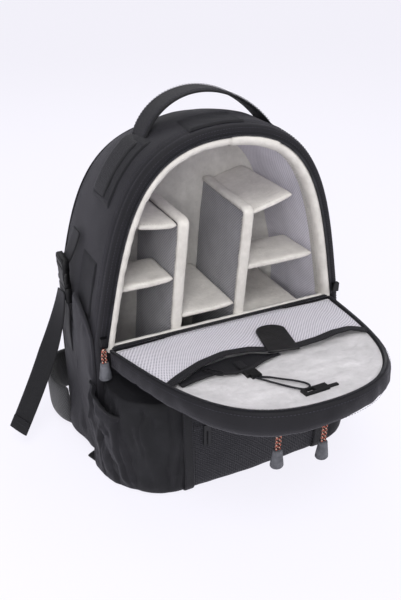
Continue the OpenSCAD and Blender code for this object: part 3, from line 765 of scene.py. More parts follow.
def liner():
    """Pale rim rolled round the opening, brushed side wall, and grey cloth over the back padding."""
    n = 320
    base = ring_base(n)
    normals = out_normals(base)
    section = [(1.6, -64.0), (0.9, -65.9), (-0.9, -67.2), (-3.4, -67.6), (-6.0, -66.7), (-7.9, -64.4),
               (-8.7, -61), (-8.6, -57),
               (-8.0, -52), (-7.2, -47.5), (-6.6, -45)]
    rows = np.array([ring_at(base, normals, g, y) for g, y in section])
    radial = upright(normals)
    run = np.arange(n) / n * 900
    pucker = np.array([noise.noise(Vector((s / 9, 3.1, 0))) * 0.75 + noise.noise(Vector((s / 4, 9.3, 0)))
                       * 0.4 for s in run])
    swell = np.sin(np.linspace(0, math.pi, len(section)))
    rows = rows - (pucker[None] * swell[:, None])[..., None] * radial[None] * 0.9
    rows[..., 1] -= pucker[None] * swell[:, None] * 0.5
    keep = np.where(base[:, 1] > HINGE_Z - 8)[0]
    a, b = keep[0], keep[-1] + 1
    ob = grid("liner_rim", rows[:, a:b], flip=True)
    finish_object(ob, M_SATIN, "bag")
    wall_y = np.linspace(-62, 63, 26)
    bulge = [-6.4 + 0.5 * math.sin((y + 50) / 12) for y in wall_y]
    wall = np.array([ring_at(base, normals, g, y) for y, g in zip(wall_y, bulge)])
    floor = 18.0
    wall[..., 2] = np.maximum(wall[..., 2], floor)
    wall += (0.7 * bumps(wall, 35, 4))[..., None] * radial[None]
    ob = grid("liner_side", wall, flip=True)
    finish_object(ob, M_WALL, "bag", ["liner_wall"])
    last = ring_at(base, normals, -6.0, 62.0)
    last[:, 2] = np.maximum(last[:, 2], floor)
    centre = np.array((0.0, 63.5, 170.0))
    rows = []
    for f in np.r_[1.0, 0.985, np.linspace(0.95, 0.0, 35)]:
        ring = centre + (last - centre) * f
        ring[:, 1] = 64.0 - 4.0 * max(0.0, (f - 0.95) / 0.05)
        rows.append(ring)
    rows = np.array(rows)
    fold = 1.6 * np.exp(-((rows[..., 0] + 22 - 0.05 * rows[..., 2]) / 4.0) ** 2) + 1.2 * np.exp(-((rows[...,
        0] - 8) / 5.0) ** 2)
    rows[..., 1] -= fold + 0.9 * bumps(rows, 30, 5)
    ob = merge_close(grid("liner_rear", rows, flip=True), 0.01)
    finish_object(ob, M_BACKING, "bag", ["liner_back"])
    for g, y in ((-7.4, -47.5), (-8.9, -55.5)):
        line = ring_at(base, normals, g, y)
        pick = line[:, 2] > HINGE_Z - 6
        stitch("bag_pale", line[pick], -radial[pick], pitch=3.4, length=2.4, r=0.25)
    # the tab where the rim's two ends lap over each other
    lap = [opening_line(g, y, 300)[0] for g, y in ((1.8, -65.0), (0.9, -67.9), (-3.4, -68.7), (-7.0, -67.4),
                                                   (-9.4, -62.5), (-9.3, -56))]
    lap = np.array(lap)[:, 118:150]
    lap[..., 1] -= 0.4 * bumps(lap, 9, 6)
    ob = grid("rim_lap", lap, flip=True)
    finish_object(ob, M_SATIN, "bag")


liner()


def front_lower():
    """The closed wall under the hinge, behind the front pocket, and its padded inside."""
    n = 61
    xs = np.linspace(-1, 1, n)
    rows = []
    for z in np.r_[2, 5, np.linspace(12, 150, 15), 154.5, 156.5, 157.0]:
        half = 154 if 30 <= z <= 70 else (154 - 30 + math.sqrt(max(0, 900 - (30 - z) ** 2)) if z < 30
                                          else 154 - 2 * (z - 70) / 90)
        y = -66.2 - 0.8 * math.cos((z - 80) / 60)
        if z > 156:
            y = -63.5
        rows.append([(x * (half - 5), y, z) for x in xs])
    ob = grid("front_lower", np.array(rows), flip=True)
    finish_object(ob, M_NYLON_DARK, "bag", ["front_wall"])
    rows = []
    for y, z in ((-66, 155.6), (-65, 158.2), (-61, 158.9), (-57.5, 157.6), (-56.2, 153), (-56.4, 140),
                 (-56.4, 90), (-56.4, 20)):
        rows.append([(x * 133.5, y + 0.8 * noise.noise(Vector((x * 9, z / 20, 2))),
                      z) for x in np.linspace(-1, 1, 81)])
    ob = grid("front_pad", np.array(rows))
    finish_object(ob, M_BACKING, "bag")


front_lower()


# ---------------------------------------------------------------- dividers and shelves
def divider(node, top_x, lean, twist=0.0):
    low, top, front, back, thick = 18.6, 280.0, -55.0, 64.0, 9.4

    def place(a, b, c):
        z = low + a
        x = top_x - lean * (top - z) + twist * (b / (back - front)) * (z - low) / (top - low)
        bow = np.sin(z / 41) + 0.8 * np.sin((b + z) / 33)
        return np.stack([x + c + bow * 0.5, front + b + 0 * z, z], -1)
    ob = board(node + "_pad", place, top - low, back - front, thick, 46, 30, power=14)

    def dents(p):
        side = np.sign(p[:, 0] - (top_x - lean * (top - p[:, 2])))
        return np.outer(side * 0.5 * bumps(p, 22, 7), (1, 0, 0))
    nudge(ob, dents)
    finish_object(merge_close(ob), M_LOOP, "bag", [node])
    # satin binding wrapped round the front edge and over the top
    zs = np.linspace(low + 1, top - 1.5, 60)
    path = [place(z - low, 0.0, 0.0) + (0, -0.6, 0) for z in zs]
    corner = [place(top - low - 0.8, 2.0, 0.0) + (0, -1.5, 1.6), place(top - low, 6.0, 0.0) + (0, 0, 1.6)]
    path = np.array(path + corner + [place(top - low, b, 0.0) + (0, 0, 1.4) for b in np.linspace(12, 112,
        24)])
    path = resample(path, 110)
    wrinkle = np.array([1 + 0.07 * noise.noise(Vector((k * 0.55, 1.7, top_x)))
                        + 0.05 * noise.noise(Vector((k * 1.3, 4.7, top_x))) for k in range(len(path))])
    turns = np.linspace(0, 2 * math.pi, 18, endpoint=False)
    section = [(6.1 * math.copysign(abs(math.cos(a)) ** 0.75, math.cos(a)),
                3.6 * math.copysign(abs(math.sin(a)) ** 0.8, math.sin(a))) for a in turns]
    up = np.tile((0.0, -1.0, 0.0), (len(path), 1))
    k = np.clip((path[:, 2] - (top - 3)) / 4, 0, 1)[:, None]
    up = up * (1 - k) + np.array((0, 0, 1.0)) * k + np.array((0, 0, 0.001))
    ob = sweep(node + "_pad_binding", path, section, up, scale=wrinkle)
    finish_object(ob, M_SATIN, "bag")
    for c in (-5.6, 5.6):
        line = np.array([place(z - low, 3.4, c * 0.93) for z in zs[:-1]])
        stitch("bag_pale", line, (math.copysign(1, c), 0, 0), pitch=3.4, length=2.3, r=0.25)


divider("divider_left", -47.0, 0.08)
divider("divider_right", 29.0, 0.06, twist=6.0)


def shelf(node, corners, seed, curl=1.5):
    """Satin-covered foam shelf. Its corners run front left, front right, back right, back left."""
    thick = 8.4
    fl, fr, br, bl = (np.array(c, float) for c in corners)
    la, lb = np.linalg.norm(fr - fl), np.linalg.norm(bl - fl)
    normal = np.cross(fr - fl, bl - fl)
    normal /= np.linalg.norm(normal)

    def place(a, b, c):
        s, t = (a / la)[..., None], (b / lb)[..., None]
        p = (1 - s) * (1 - t) * fl + s * (1 - t) * fr + s * t * br + (1 - s) * t * bl
        lift = -np.sin(math.pi * s) * np.sin(math.pi * t) + curl * s ** 6 * (1 - t) ** 2
        return p + normal * (c[..., None] + lift)
    ob = board(node + "_pad", place, la, lb, thick, 30, 36, power=12)
    nudge(ob, lambda p: np.outer(0.55 * bumps(p, 24, seed) + 0.25 * bumps(p, 9, seed + 3), (0, 0, 1)))
    finish_object(merge_close(ob), M_SATIN, node, [node])
    edge = np.array([fl * (1 - s) + fr * s for s in np.linspace(0.03, 0.97, 40)])
    stitch("thread_" + node, edge + normal * (thick * 0.36) + (0, 2.2, 0), normal, pitch=3.2, length=2.2,
           r=0.24)


def top_shelf(node, start, side, angle, length, seed, curl):
    """A shelf that carries on a divider's top outwards and upwards at an angle."""
    tilt = math.radians(angle)
    lift = np.array((-side * math.sin(tilt), 0, math.cos(tilt)))
    near = np.array(start) + 4.5 * lift
    far = near + length * np.array((side * math.cos(tilt), 0, math.sin(tilt)))
    back = np.array((0, 115.5, 0))
    corners = [far, near, near + back, far + back] if side < 0 else [near, far, far + back, near + back]
    shelf(node, corners, seed, curl)


def level_shelf(node, x0, x1, z, seed, curl=1.5, back_y=62.5, back_z=None):
    back_z = z if back_z is None else back_z
    shelf(node, [(x0, -53, z), (x1, -53, z), (x1, back_y, back_z), (x0, back_y, back_z)], seed, curl)


def shelves():
    top_shelf("shelf_left_top", (-54.2, -53, 271), -1, 8.5, 41, 11, 2.0)
    top_shelf("shelf_right_top", (36.8, -53, 271), 1, 15, 51, 12, 1.0)
    level_shelf("shelf_left_low", -118, -58.6, 215.5, 13, back_y=7, back_z=214)
    level_shelf("shelf_centre", -51, 15.6, 167.5, 14, curl=2.0)
    level_shelf("shelf_right_mid", 30.6, 117.5, 210.5, 15, back_y=7)
    level_shelf("shelf_right_low", 26.5, 111.5, 142.5, 16)


shelves()


# ---------------------------------------------------------------- flap
def flap_outline(inset, n=200):
    """Closed outline of the flap in its own width and distance from the hinge."""
    base = arch_base(n)
    line = base - inset * out_normals(base)
    line[:, 1] -= AXIS_Z
    low = 2.0 + inset
    line = line[line[:, 1] > low + 0.5]
    foot = np.stack([np.linspace(line[-1][0], line[0][0], 40), np.full(40, low)], 1)
    return resample(np.vstack([line, foot, line[:1]]), n)[:-1]


FLAP_UP = opened(0, -1, 0) - opened(0, 0, 0)


def flap_shell():
    n = 220
    rows = []
    for inset, out in ((1.6, 0.9), (0.2, 0.7), (-0.9, 1.4), (-1.9, 3.2), (-2.9, 7.0), (-3.2, 11.5),
                       (-2.6, 16.0), (-0.8, 19.6), (2.6, 22.2),
                       (7.5, 23.8), (14.0, 24.6)):
        o = flap_outline(inset, n)
        near = np.clip((o[:, 1] - 4) / 26, 0, 1)
        o2 = flap_outline(0.0, n)
        mixed = o2 + (o - o2) * (near[:, None] if inset < 0 else 1.0)
        deeper = 1 + 0.22 * np.clip(out / 24, 0,
                                    1) * np.exp(-((mixed[:, 0] + 60) / 55) ** 2) * np.clip((mixed[:,
                                        1] - 60) / 60, 0, 1)
        rows.append(opened(mixed[:, 0], out * deeper, mixed[:, 1]))
    edge = flap_outline(14.0, n)
    centre = np.array((0.0, 92.0))
    inner = []
    for f in (0.9, 0.75, 0.55, 0.35, 0.15, 0.01):
        o = centre + (edge - centre) * f
        inner.append(opened(o[:, 0], 24.6 + 1.6 * (1 - f), o[:, 1]))
    rows = closed_rings(np.concatenate([rows, inner]))
    weight = np.clip(np.arange(len(rows)) / 4, 0, 1)[:, None]
    rows += (weight * (1.5 * bumps(rows, 42, 21) + 0.7 * bumps(rows, 16, 22)))[..., None] * -FLAP_UP
    radial = rows - rows.mean(axis=1, keepdims=True)
    radial /= np.linalg.norm(radial, axis=2)[..., None] + 1e-6
    mid = np.zeros(len(rows))
    mid[3:9] = (0.5, 1, 1, 1, 0.8, 0.4)
    rows += (mid[:, None] * (1.2 * bumps(rows, 24, 23) + 0.8 * creases(rows, 20, 24)))[..., None] * radial
    ob = grid("flap_outer", rows)
    finish_object(ob, M_NYLON, "flap", ["flap_shell"])
    for inset, out in ((-2.1, 4.0), (1.0, 21.6)):
        o = flap_outline(inset, 240)
        line = opened(o[:, 0], out, o[:, 1])[o[:, 1] > 12]
        away = line - opened(0, out, 92)
        stitch("flap", line + 0.5 * unit(away), away, pitch=3.4, length=2.4, r=0.3)


flap_shell()


def flap_arch(inset, out, n=300):
    """The flap's edge without its hinge side, at one height."""
    base = arch_base(n)
    line = base - inset * out_normals(base)
    line[:, 1] -= AXIS_Z
    line = resample(line[line[:, 1] > 6], n)
    return opened(line[:, 0], out, line[:, 1])


def flap_zip():
    rows = [flap_arch(i, o) for i, o in ((-0.6, 1.3), (0.4, 0.6), (2.0, 0.5), (3.6, 0.9), (4.8, 2.4))]
    finish_object(grid("zip_tape_flap", np.array(rows)), M_TAPE, "flap", ["flap_zip"])
    line = flap_arch(1.7, 0.4, 400)
    run = unit(np.gradient(line, axis=0))
    up = np.tile(FLAP_UP, (400, 1))
    coil("zip_coil_flap", (line, run, np.cross(run, up), up), 480, "flap")


flap_zip()


def flap_width(d, inset):
    o = flap_outline(inset, 400)
    right = o[(o[:, 0] > 0)]
    order = np.argsort(right[:, 1])
    return np.interp(d, right[order, 1], right[order, 0])


MOUTH = [(-112, 101), (-90, 90), (-70, 80), (-41, 73), (-16, 78), (-3, 87), (31, 96), (56, 95), (79, 90),
         (99, 90), (114, 101)]


def flap_inside():
    n = 200
    edge = flap_outline(4.2, n)
    centre = np.array((0.0, 95.0))
    rows = []
    for f in np.r_[1.0, 0.985, 0.96, np.linspace(0.92, 0.04, 26)]:
        o = centre + (edge - centre) * f
        out = np.full(n - 1, 2.6)
        if f < 1:
            out = 3.4 + 2.6 * min(1.0, (1 - f) * 6) + 3.2 * np.clip((92 - o[:, 1]) / 25, 0, 1)
        rows.append(opened(o[:, 0], out, o[:, 1]))
    rows = closed_rings(rows)
    up = FLAP_UP
    soft = np.clip(np.arange(len(rows)) / 3, 0.2, 1)[:, None]
    rows += (soft * (1.5 * bumps(rows, 38, 31) + 0.7 * bumps(rows * (1, 2.2, 1), 22, 32)))[..., None] * up
    ob = grid("flap_lining_cloth", rows, flip=True)
    finish_object(ob, M_SATIN_FLAP, "flap", ["flap_lining"])
    # mesh pocket nearest the hinge, with a slack wavy mouth
    mouth_x, mouth_d = zip(*MOUTH)
    rows = []
    for s in np.linspace(0, 1, 34):
        half = flap_width(max(1.5 + 100 * s, 6.2), 3.6)
        across = np.linspace(-1, 1, 70)
        d = 1.5 + s * (np.interp(across * half, mouth_x, mouth_d) - 1.5)
        xs = across * np.array([flap_width(max(v, 6.2), 3.6) for v in d])
        d = 1.5 + s * (np.interp(xs, mouth_x, mouth_d) - 1.5)
        edge = np.abs(across) ** 10
        slack = 1.4 * math.sin(math.pi * s) * np.sin(xs / 23 + d / 40) * (1 - edge)
        rows.append(opened(xs, 0.7 + 1.6 * edge + 1.0 * (1 - s) ** 3 - 0.4 * slack - 0.9 * s * (1 - edge), d))
    rows = np.array(rows)
    ob = grid("mesh_panel", rows, flip=True)
    finish_object(ob, M_NET, "flap", ["mesh_pocket"])
    # black binding along the mouth
    path = resample(rows[-1], 110) + up * 0.9
    hinge_way = opened(0, 0, 1) - opened(0, 0, 0)
    web("mouth_binding", path + hinge_way * 4.2, 11.0, 1.6, up, "flap", ["pocket_binding"], across=10)
    for shift in (0.6, 8.2):
        stitch("flap", path + hinge_way * shift + up * 0.8, up, pitch=3.2, length=2.2, r=0.24)
    # the mouth of the pocket under the mesh, standing open at the left, with its bound lower lip
    rows = []
    for s in np.linspace(0, 1, 12):
        xs = np.linspace(-103, 8, 60)
        upper = np.interp(xs, mouth_x, mouth_d) + 4
        lower = np.interp(xs, (-103, -88, -66, -48, -30, -10, 8), (110, 107, 106, 114, 113, 105, 100))
        rows.append(opened(xs, 4.6 + 0.5 * np.sin(xs / 9) - 1.4 * s, upper + (lower - upper) * s))
    rows = np.array(rows)
    finish_object(grid("inner_panel", rows, flip=True), M_NYLON_DARK, "flap")
    web("inner_binding", resample(rows[-1], 80) + up * 0.6, 4.5, 1.6, up, "flap", across=8)
    bends = ((-74, 94, 0), (-72, 104, 1.5), (-68, 114, 2), (-63, 117, 2), (-61, 112, 2), (-66, 103, 1.5),
             (-70, 94, 0))
    wire = smooth_path([opened(x, 1.2 - h, d) for x, d, h in bends], 50)
    finish_object(tube("leash_ring", wire, 0.7, 8), M_SLIDER, "flap")


flap_inside()


def plate(name, place, outline, thick, bevel, body, replaced=(), material=M_PLASTIC):
    """A plate: an outline in two directions with softened top edges. place(u, v, h) gives a point."""
    o = np.array(outline, float)
    centre = o.mean(0)
    levels = ((0, 0), (0, thick - bevel), (bevel * 0.35, thick - bevel * 0.3), (bevel, thick),
        (bevel * 2.4, thick))
    rings = [np.array([place(*(p + q * inset), h) for p, q in zip(o, unit(centre - o))]) for inset,
             h in levels]
    ob = merge_close(capped_rings(name, rings, len(o)), 0.01)
    return finish_object(ob, material, body, replaced)


def arc(cx, cy, r, a0, a1, n=12):
    return [(cx + r * math.cos(a), cy + r * math.sin(a)) for a in np.linspace(math.radians(a0),
                                                                              math.radians(a1), n)]


def round_rect(x0, y0, x1, y1, r=2.0, n=5):
    return (arc(x1 - r, y0 + r, r, -90, 0, n) + arc(x1 - r, y1 - r, r, 0, 90, n) + arc(x0 + r, y1 - r, r, 90,
        180, n)
            + arc(x0 + r, y0 + r, r, 180, 270, n))


def flap_fittings():
    up = FLAP_UP
    turn = math.radians(15)

    def tab_point(x, z):
        return 15 + x * math.cos(turn) - z * math.sin(turn), 90 + x * math.sin(turn) + z * math.cos(turn)
    shape = [tab_point(x, z) for x, z in [(16, 16), (16, -32)] + [(x, -64 - z) for x, z in arc(0, -32, 16, 0,
        180, 24)] + [(-16, -32), (-16, 16)]]
    middle = np.array(tab_point(0, -10))

    def on_flap(base):
        return lambda u, v, h: opened(u, base - h - 1.2 * math.sin((v - 40) / 70 * math.pi), v)
    plate("tab_leather", on_flap(-1.0), shape, 2.2, 0.9, "flap", ["pocket_tab"], M_LEATHER)
    inset = np.array([middle + (np.array(p) - middle) * (0.86, 0.93) for p in shape[1:-1]])
    stitch("flap", np.array([opened(x, -3.5 - 1.2 * math.sin((z - 40) / 70 * math.pi), z) for x,
                             z in inset]), up,
           pitch=2.6, length=1.8, r=0.22)
    path = np.array([opened(-36 + 0.5 * math.sin(d / 6), 6.0 - 3.2, d) for d in np.linspace(94, 109, 14)])
    web("leash_webbing", path, 9, 1.5, up, "flap", ["leash_strap"], across=8)


flap_fittings()


# ---------------------------------------------------------------- front pocket and side pockets
def plan_arc(x0, y0, r, a0, a1, n):
    a = np.radians(np.linspace(a0, a1, n))
    return np.stack([x0 + r * np.cos(a), y0 + r * np.sin(a)], 1)


def pocket_rows(plan, heights, centre=(0.0, -60.0)):
    """Rows of points up a wall that follows a plan line; heights holds (z, how far it stands in)."""
    out = plan - np.array(centre)
    out /= np.linalg.norm(out, axis=1)[:, None]
    return np.array([np.column_stack([plan - out * inset, np.full(len(plan), z)]) for z, inset in heights])


def front_pocket():
    heights = [(0.6, 10), (0.8, 5), (2.2, 1.6), (6, -0.6), (14, -1.2), (30, -1.6), (50, -1.8), (70, -1.6),
               (90, -0.8), (104, 0.6), (113, 2.4),
               (119, 5), (122.5, 9), (124.5, 16), (125, 30)]
    zs = np.interp(np.linspace(0, 1, 40), np.linspace(0, 1, len(heights)), [h[0] for h in heights])
    insets = np.interp(np.linspace(0, 1, 40), np.linspace(0, 1, len(heights)), [h[1] for h in heights])
    plan = resample(np.array([(-86, -142.5), (-40, -144.5), (0, -145.4), (40, -144.5), (86, -142.5)]), 70)
    rows = np.array([np.column_stack([plan[:, 0], plan[:, 1] + i, np.full(70, z)]) for z,
                     i in zip(zs, insets)])
    rows[..., 1] -= 1.0 * bumps(rows, 40, 41) + 0.4 * bumps(rows, 14, 42)
    finish_object(grid("pocket_front", rows), M_BALLISTIC, "bag", ["front_pocket"])
    for side, name in ((-1, "left"), (1, "right")):
        plan = np.vstack([plan_arc(88, -80, 62.6, -96, 0, 60), [(150.6, -64.5)]])
        plan = resample(plan, 90)
        rows = pocket_rows(plan, list(zip(zs, insets)), (60, -66))
        run = np.arange(90) / 89 * 110
        z = rows[..., 2]
        fold = np.zeros(z.shape)
        fold -= grooves(run[None], z, [[(20, 118), (17, 80), (24, 40), (22, 8)], [(46, 118), (50, 90),
            (44, 60)], [(8, 70), (12, 30), (16, 6)]], 1.6)
        for at, slope, wide, deep in ((32, 0.22, 7.5, 2.6), (60, -0.12, 9.0, 2.2)):
            s = run[None] - at - slope * (z - 60)
            fold += deep * (np.exp(-(s / wide) ** 2) - 0.55 * np.exp(-((s - wide * 1.7) / wide) ** 2))
        fade = np.clip(z / 20, 0, 1) * np.clip((126 - z) / 20, 0.25, 1)
        out = plan - (60, -66)
        out = np.column_stack([out / np.linalg.norm(out, axis=1)[:, None], np.zeros(90)])
        rows += ((2.0 * bumps(rows, 38, 43 + side) + 1.8 * creases(rows * (1, 1, 0.6), 28, 44 + side) + 0.7
                  * creases(rows, 13, 45) - fold * 0.9) * fade)[..., None] * out[None]
        rows[..., 0] *= side
        ob = grid("pocket_side_" + name, rows, flip=side < 0)
        finish_object(ob, M_NYLON_DARK, "bag")
    rows = np.array([np.column_stack([np.linspace(-148, 148, 80), np.full(80, y), np.full(80, 123.6)])
                     for y in np.linspace(-138, -64, 22)])
    limit = 62.0 ** 2 - (np.abs(rows[..., 0]) - 88).clip(0) ** 2
    edge = np.where(np.abs(rows[..., 0]) > 88, -80 - np.sqrt(limit.clip(0)), -142)
    rows[..., 1] = np.maximum(rows[..., 1], edge + 5)
    rows[..., 2] += 1.2 * bumps(rows, 30, 47)
    finish_object(grid("pocket_top", rows), M_NYLON_DARK, "bag")


front_pocket()


def side_pocket(side, name):
    """Stretch pocket: its mouth slopes down towards the front and stands open a little at the back."""
    plan = np.vstack([[(154.0, -52.0), (160.0, -54.0)], plan_arc(88, -60, 76.5, 3, -72, 70)])
    n = 90
    plan = resample(plan, n)
    s = np.linspace(0, 1, n)
    top = 118 - 30 * np.clip((s - 0.05) / 0.75, 0, 1) ** 1.2
    centre = np.array((88, -60.0))
    out = plan - centre
    out /= np.linalg.norm(out, axis=1)[:, None]
    rows = []
    us = np.r_[-0.03, -0.012, 0.0, 0.015, np.linspace(0.04, 0.95, 26), 0.975, 0.99, 0.996, 0.99, 0.965]
    push = np.r_[-8, -3.5, -1.2, 0.2, 1.6 * np.sin(np.linspace(0.1, 1, 26) * math.pi * 0.9), 0.5, 0.6, -0.2,
                 -1.2, -1.6]
    for u, p in zip(us, push):
        z = 1.2 + np.maximum(u, 0) * (top - 1.2) - (0.5 if u < 0 else 0)
        rows.append(np.column_stack([plan + out * (p - 1.0), z]))
    rows = np.array(rows)
    z = rows[..., 2]
    run = s * 110
    fold = np.zeros(z.shape)
    for at, slope, wide, deep in ((10, 0.05, 4.0, 4.6), (40, 0.42, 7.0, 3.4), (78, 0.30, 9.0, 3.0)):
        w = run[None] - at - slope * (60 - z)
        fold += deep * (np.exp(-(w / wide) ** 2) - 0.5 * np.exp(-((w + wide * 1.6) / wide) ** 2))
    wide_out = np.column_stack([out, np.zeros(n)])
    fade = np.clip(z / 16, 0, 1)
    fold -= grooves(run[None], z, [[(13, 106), (26, 92), (47, 76)], [(44, 74), (38, 62), (36, 34), (40, 8)],
                                   [(63, 90), (66, 50), (72, 24), (80, 4)],
                                   [(20, 70), (17, 40), (22, 6)], [(50, 40), (58, 22), (62, 4)]])
    rows += ((2.0 * bumps(rows, 36, 51) + 1.7 * creases(rows * (1, 1, 0.55), 26, 52 + side) + 0.7
              * creases(rows, 13, 53) - fold) * fade)[..., None] * wide_out[None]
    rows[..., 0] *= side
    ob = grid("side_pocket_cloth_" + name, rows, flip=side < 0)
    finish_object(ob, M_NYLON, "bag", ["side_pocket_" + name])
    hem = rows[-4]
    finish_object(tube("side_pocket_hem_" + name, resample(hem, 70), 1.5, 8), M_NYLON_DARK, "bag")
    line = rows[-7]
    stitch("bag", line, wide_out * (side, 1, 1), pitch=3.3, length=2.3, r=0.28, lift=0.4)


side_pocket(-1, "left")
side_pocket(1, "right")


# ---------------------------------------------------------------- webbing, wings, patches, buckles
def straps():
    for side, name in ((-1, "left"), (1, "right")):
        points = [(83 * side, y, z) for y, z in ((-124, 1.6), (-134, 1.4), (-142, 2.6), (-145.6, 8),
                                                 (-145.8, 20), (-145.8, 50), (-145, 84),
                                                 (-143.2, 104), (-138, 118), (-124, 126))]
        path = smooth_path(points, 60)
        path[:, 0] += 0.6 * np.sin(path[:, 2] / 17)
        web("front_strip_" + name, path, 11.5, 1.7, (0.0, -0.8, -0.6), "bag", ["front_straps"] if side < 0
            else ())
        pick = (path[:, 2] > 6) & (path[:, 2] < 112)
        for dx in (-4.4, 4.4):
            stitch("bag", path[pick] + (dx, -0.9, 0), (0, -1, 0), pitch=3.2, length=2.2, r=0.25)
        # loose loop of webbing sewn in by the foot of the side panel
        x = 146 * side
        points = [(x, -44, 4.4), (x + 6 * side, -46, 4.6), (x + 14 * side, -48, 3.6), (x + 19 * side, -50,
            2.2)]
        web("foot_tail_" + name, smooth_path(points, 16), 15, 1.8, (0, 0, 1.0), "bag",
            ["base_tails"] if side < 0 else ())
    xs = np.linspace(-77, 77, 60)
    fold = np.array([[(x, -144.9 + 0.0004 * x * x - o, z) for x in xs] for o, z in ((0.2, 92), (1.6, 90.6),
        (2.1, 87), (1.7, 83.4), (0.6, 82.2), (0.0, 81))])
    fold[..., 1] -= 0.4 * bumps(fold, 20, 61)
    finish_object(grid("pocket_zip_flap", fold, flip=True), M_BALLISTIC, "bag")


straps()


WING = [(-64, 8), (-62, 60), (-62, 108), (-62, 147), (-55, 172), (-32, 189), (-6, 198), (4, 193), (7, 158),
        (28, 152), (44, 152), (60, 149), (68, 132), (71, 90), (70, 40), (60, 10), (30, 8), (-10, 8)]


def arch_patch(first, last, columns, grow, depths):
    """Points on the bag's outer face, between two places along the arch and over some depths."""
    base = arch_base(400)
    normals = out_normals(base)
    places = [base[int(i)] + normals[int(i)] * grow for i in np.linspace(first, last, columns)]
    return np.array([[dropped(p, y) for y in depths] for p in places])


def turned_edge(patch, middle, edge):
    """How far a sewn patch stands up, with its edges turned down."""
    lift = np.full(patch.shape[:2], float(middle))
    lift[[0, -1]] = edge
    lift[:, [0, -1]] = edge
    return lift


def patch_border(patch):
    return np.vstack([patch[2, 2:-2], patch[2:-2, -3], patch[-3, 2:-2][::-1], patch[2:-2, 2][::-1]])


def side_gear():
    for side, name in ((-1, "left"), (1, "right")):
        # padded wing that the compression strap pulls on
        closed = resample(smooth_path(WING + WING[:1], 150), 121)[:-1]
        centre = np.array((0.0, 80.0))
        rows = []
        for f, lift in ((1.0, 0.2), (0.99, 1.6), (0.965, 2.6), (0.93, 2.9), (0.9, 2.5), (0.86, 3.2),
                        (0.7, 4.0), (0.45, 4.4), (0.2, 4.6), (0.0, 4.6)):
            p = centre + (closed - centre) * f
            rows.append(np.column_stack([np.full(120, 153.8 + lift), p]))
        rows = closed_rings(rows)
        weight = np.clip(np.arange(len(rows)) / 3, 0, 1)[:, None]
        z = rows[..., 2]
        rows[..., 0] += weight * (1.4 * bumps(rows, 34, 71 + side) + 0.5 * bumps(rows, 13,
            72)) - np.clip((z - 140) / 20, 0, 1) * 1.2
        bulge = 4.0 * np.exp(-(((rows[..., 1] - 30) / 40) ** 2 + ((z - 60) / 42) ** 2))
        bulge += 15.0 * np.exp(-(((rows[..., 1] - 6) / 40) ** 2 + ((z - 10) / 32) ** 2))
        bulge += grooves(rows[..., 1], z, [[(-24, 176), (-45, 136), (-55, 105), (-50, 40)],
                                           [(50, 120), (66, 86), (62, 24)],
                                           [(-40, 20), (-10, 42), (30, 46)]], 1.7, 1.6)
        rows[..., 0] += weight * bulge
        rows[..., 0] *= side
        ob = merge_close(grid("wing_" + name, rows, flip=side > 0), 0.01)
        finish_object(ob, M_NYLON, "bag", ["side_wings"] if side < 0 else ())
        for k in (2, 4):
            stitch("bag", rows[k, 8:-6], (side, 0, 0), pitch=3.4, length=2.3, r=0.3)
        # upper patch: a reinforcing piece with turned edges
        patch = arch_patch(14, 60, 24, 13.4, np.linspace(-38, 6, 30))
        patch[..., 0] += turned_edge(patch, 1.5, 0.1) + 0.5 * bumps(patch, 20, 75)
        patch[..., 0] *= side
        ob = grid("side_patch_" + name, patch, flip=side > 0)
        finish_object(ob, M_NYLON_DARK, "bag", ["sewn_patches"] if side < 0 else ())
        stitch("bag", patch_border(patch) + (0.4 * side, 0, 0), (side, 0, 0.2), pitch=3.2, length=2.2, r=0.28)
        # webbing up to the plug and on from the socket
        x = 157.5
        low = smooth_path([(x + 1.4, 28, 112), (x + 1.8, 28, 130), (x + 1.4, 28, 147), (x, 28, 164),
                           (x, 28, 178)], 24)
        high = smooth_path([(x - 2.2, 28, 222), (151.0, 28, 227), (147.6, 28, 233), (143.6, 28, 241),
                            (140.2, 28, 249), (137.4, 28, 256)], 30)
        for k, path in (("low", low), ("high", high)):
            ob = web("strap_" + k + "_" + name, path * (side, 1, 1), 25, 1.7, (side, 0, 0.001),
                     "bag" if k == "high" else None, ["strap_links"] if side < 0 and k == "low" else ())
            if k == "low":
                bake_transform(ob)
        # hanging end of the strap, with its folded and sewn tip
        t = np.linspace(0, 1, 70)
        curve = bezier([(0.9, 0), (9, -40), (40, -100), (75, -162)], t)
        path = np.column_stack([160.9 + curve[:, 0], 28 - 20 * t, 187 + curve[:, 1]])
        turn = np.radians(-40 * np.minimum(1, 2 * t))
        facing = np.column_stack([side * np.cos(turn), np.sin(turn), np.full(70, 0.4)])
        path[:, 0] *= side
        web("strap_tail_" + name + "_web", path, 25, 1.6, facing, "plug_" + name, ["strap_tail_" + name], 16,
            0.35)
        _, across, top = frames_along(path, facing)
        web("strap_tip_" + name, path[-6:] + top[-6:] * 0.8, 25, 1.6, facing[-6:], "plug_" + name, (), 14,
            0.35)
        for k in (-6, -4):
            ends = np.array([path[k] + across[k] * 10.5 + top[k] * 1.7, path[k] - across[k] * 10.5 + top[k]
                             * 1.7])
            stitch("plug_" + name, ends, top[k], pitch=2.4, length=1.8, r=0.25)


side_gear()


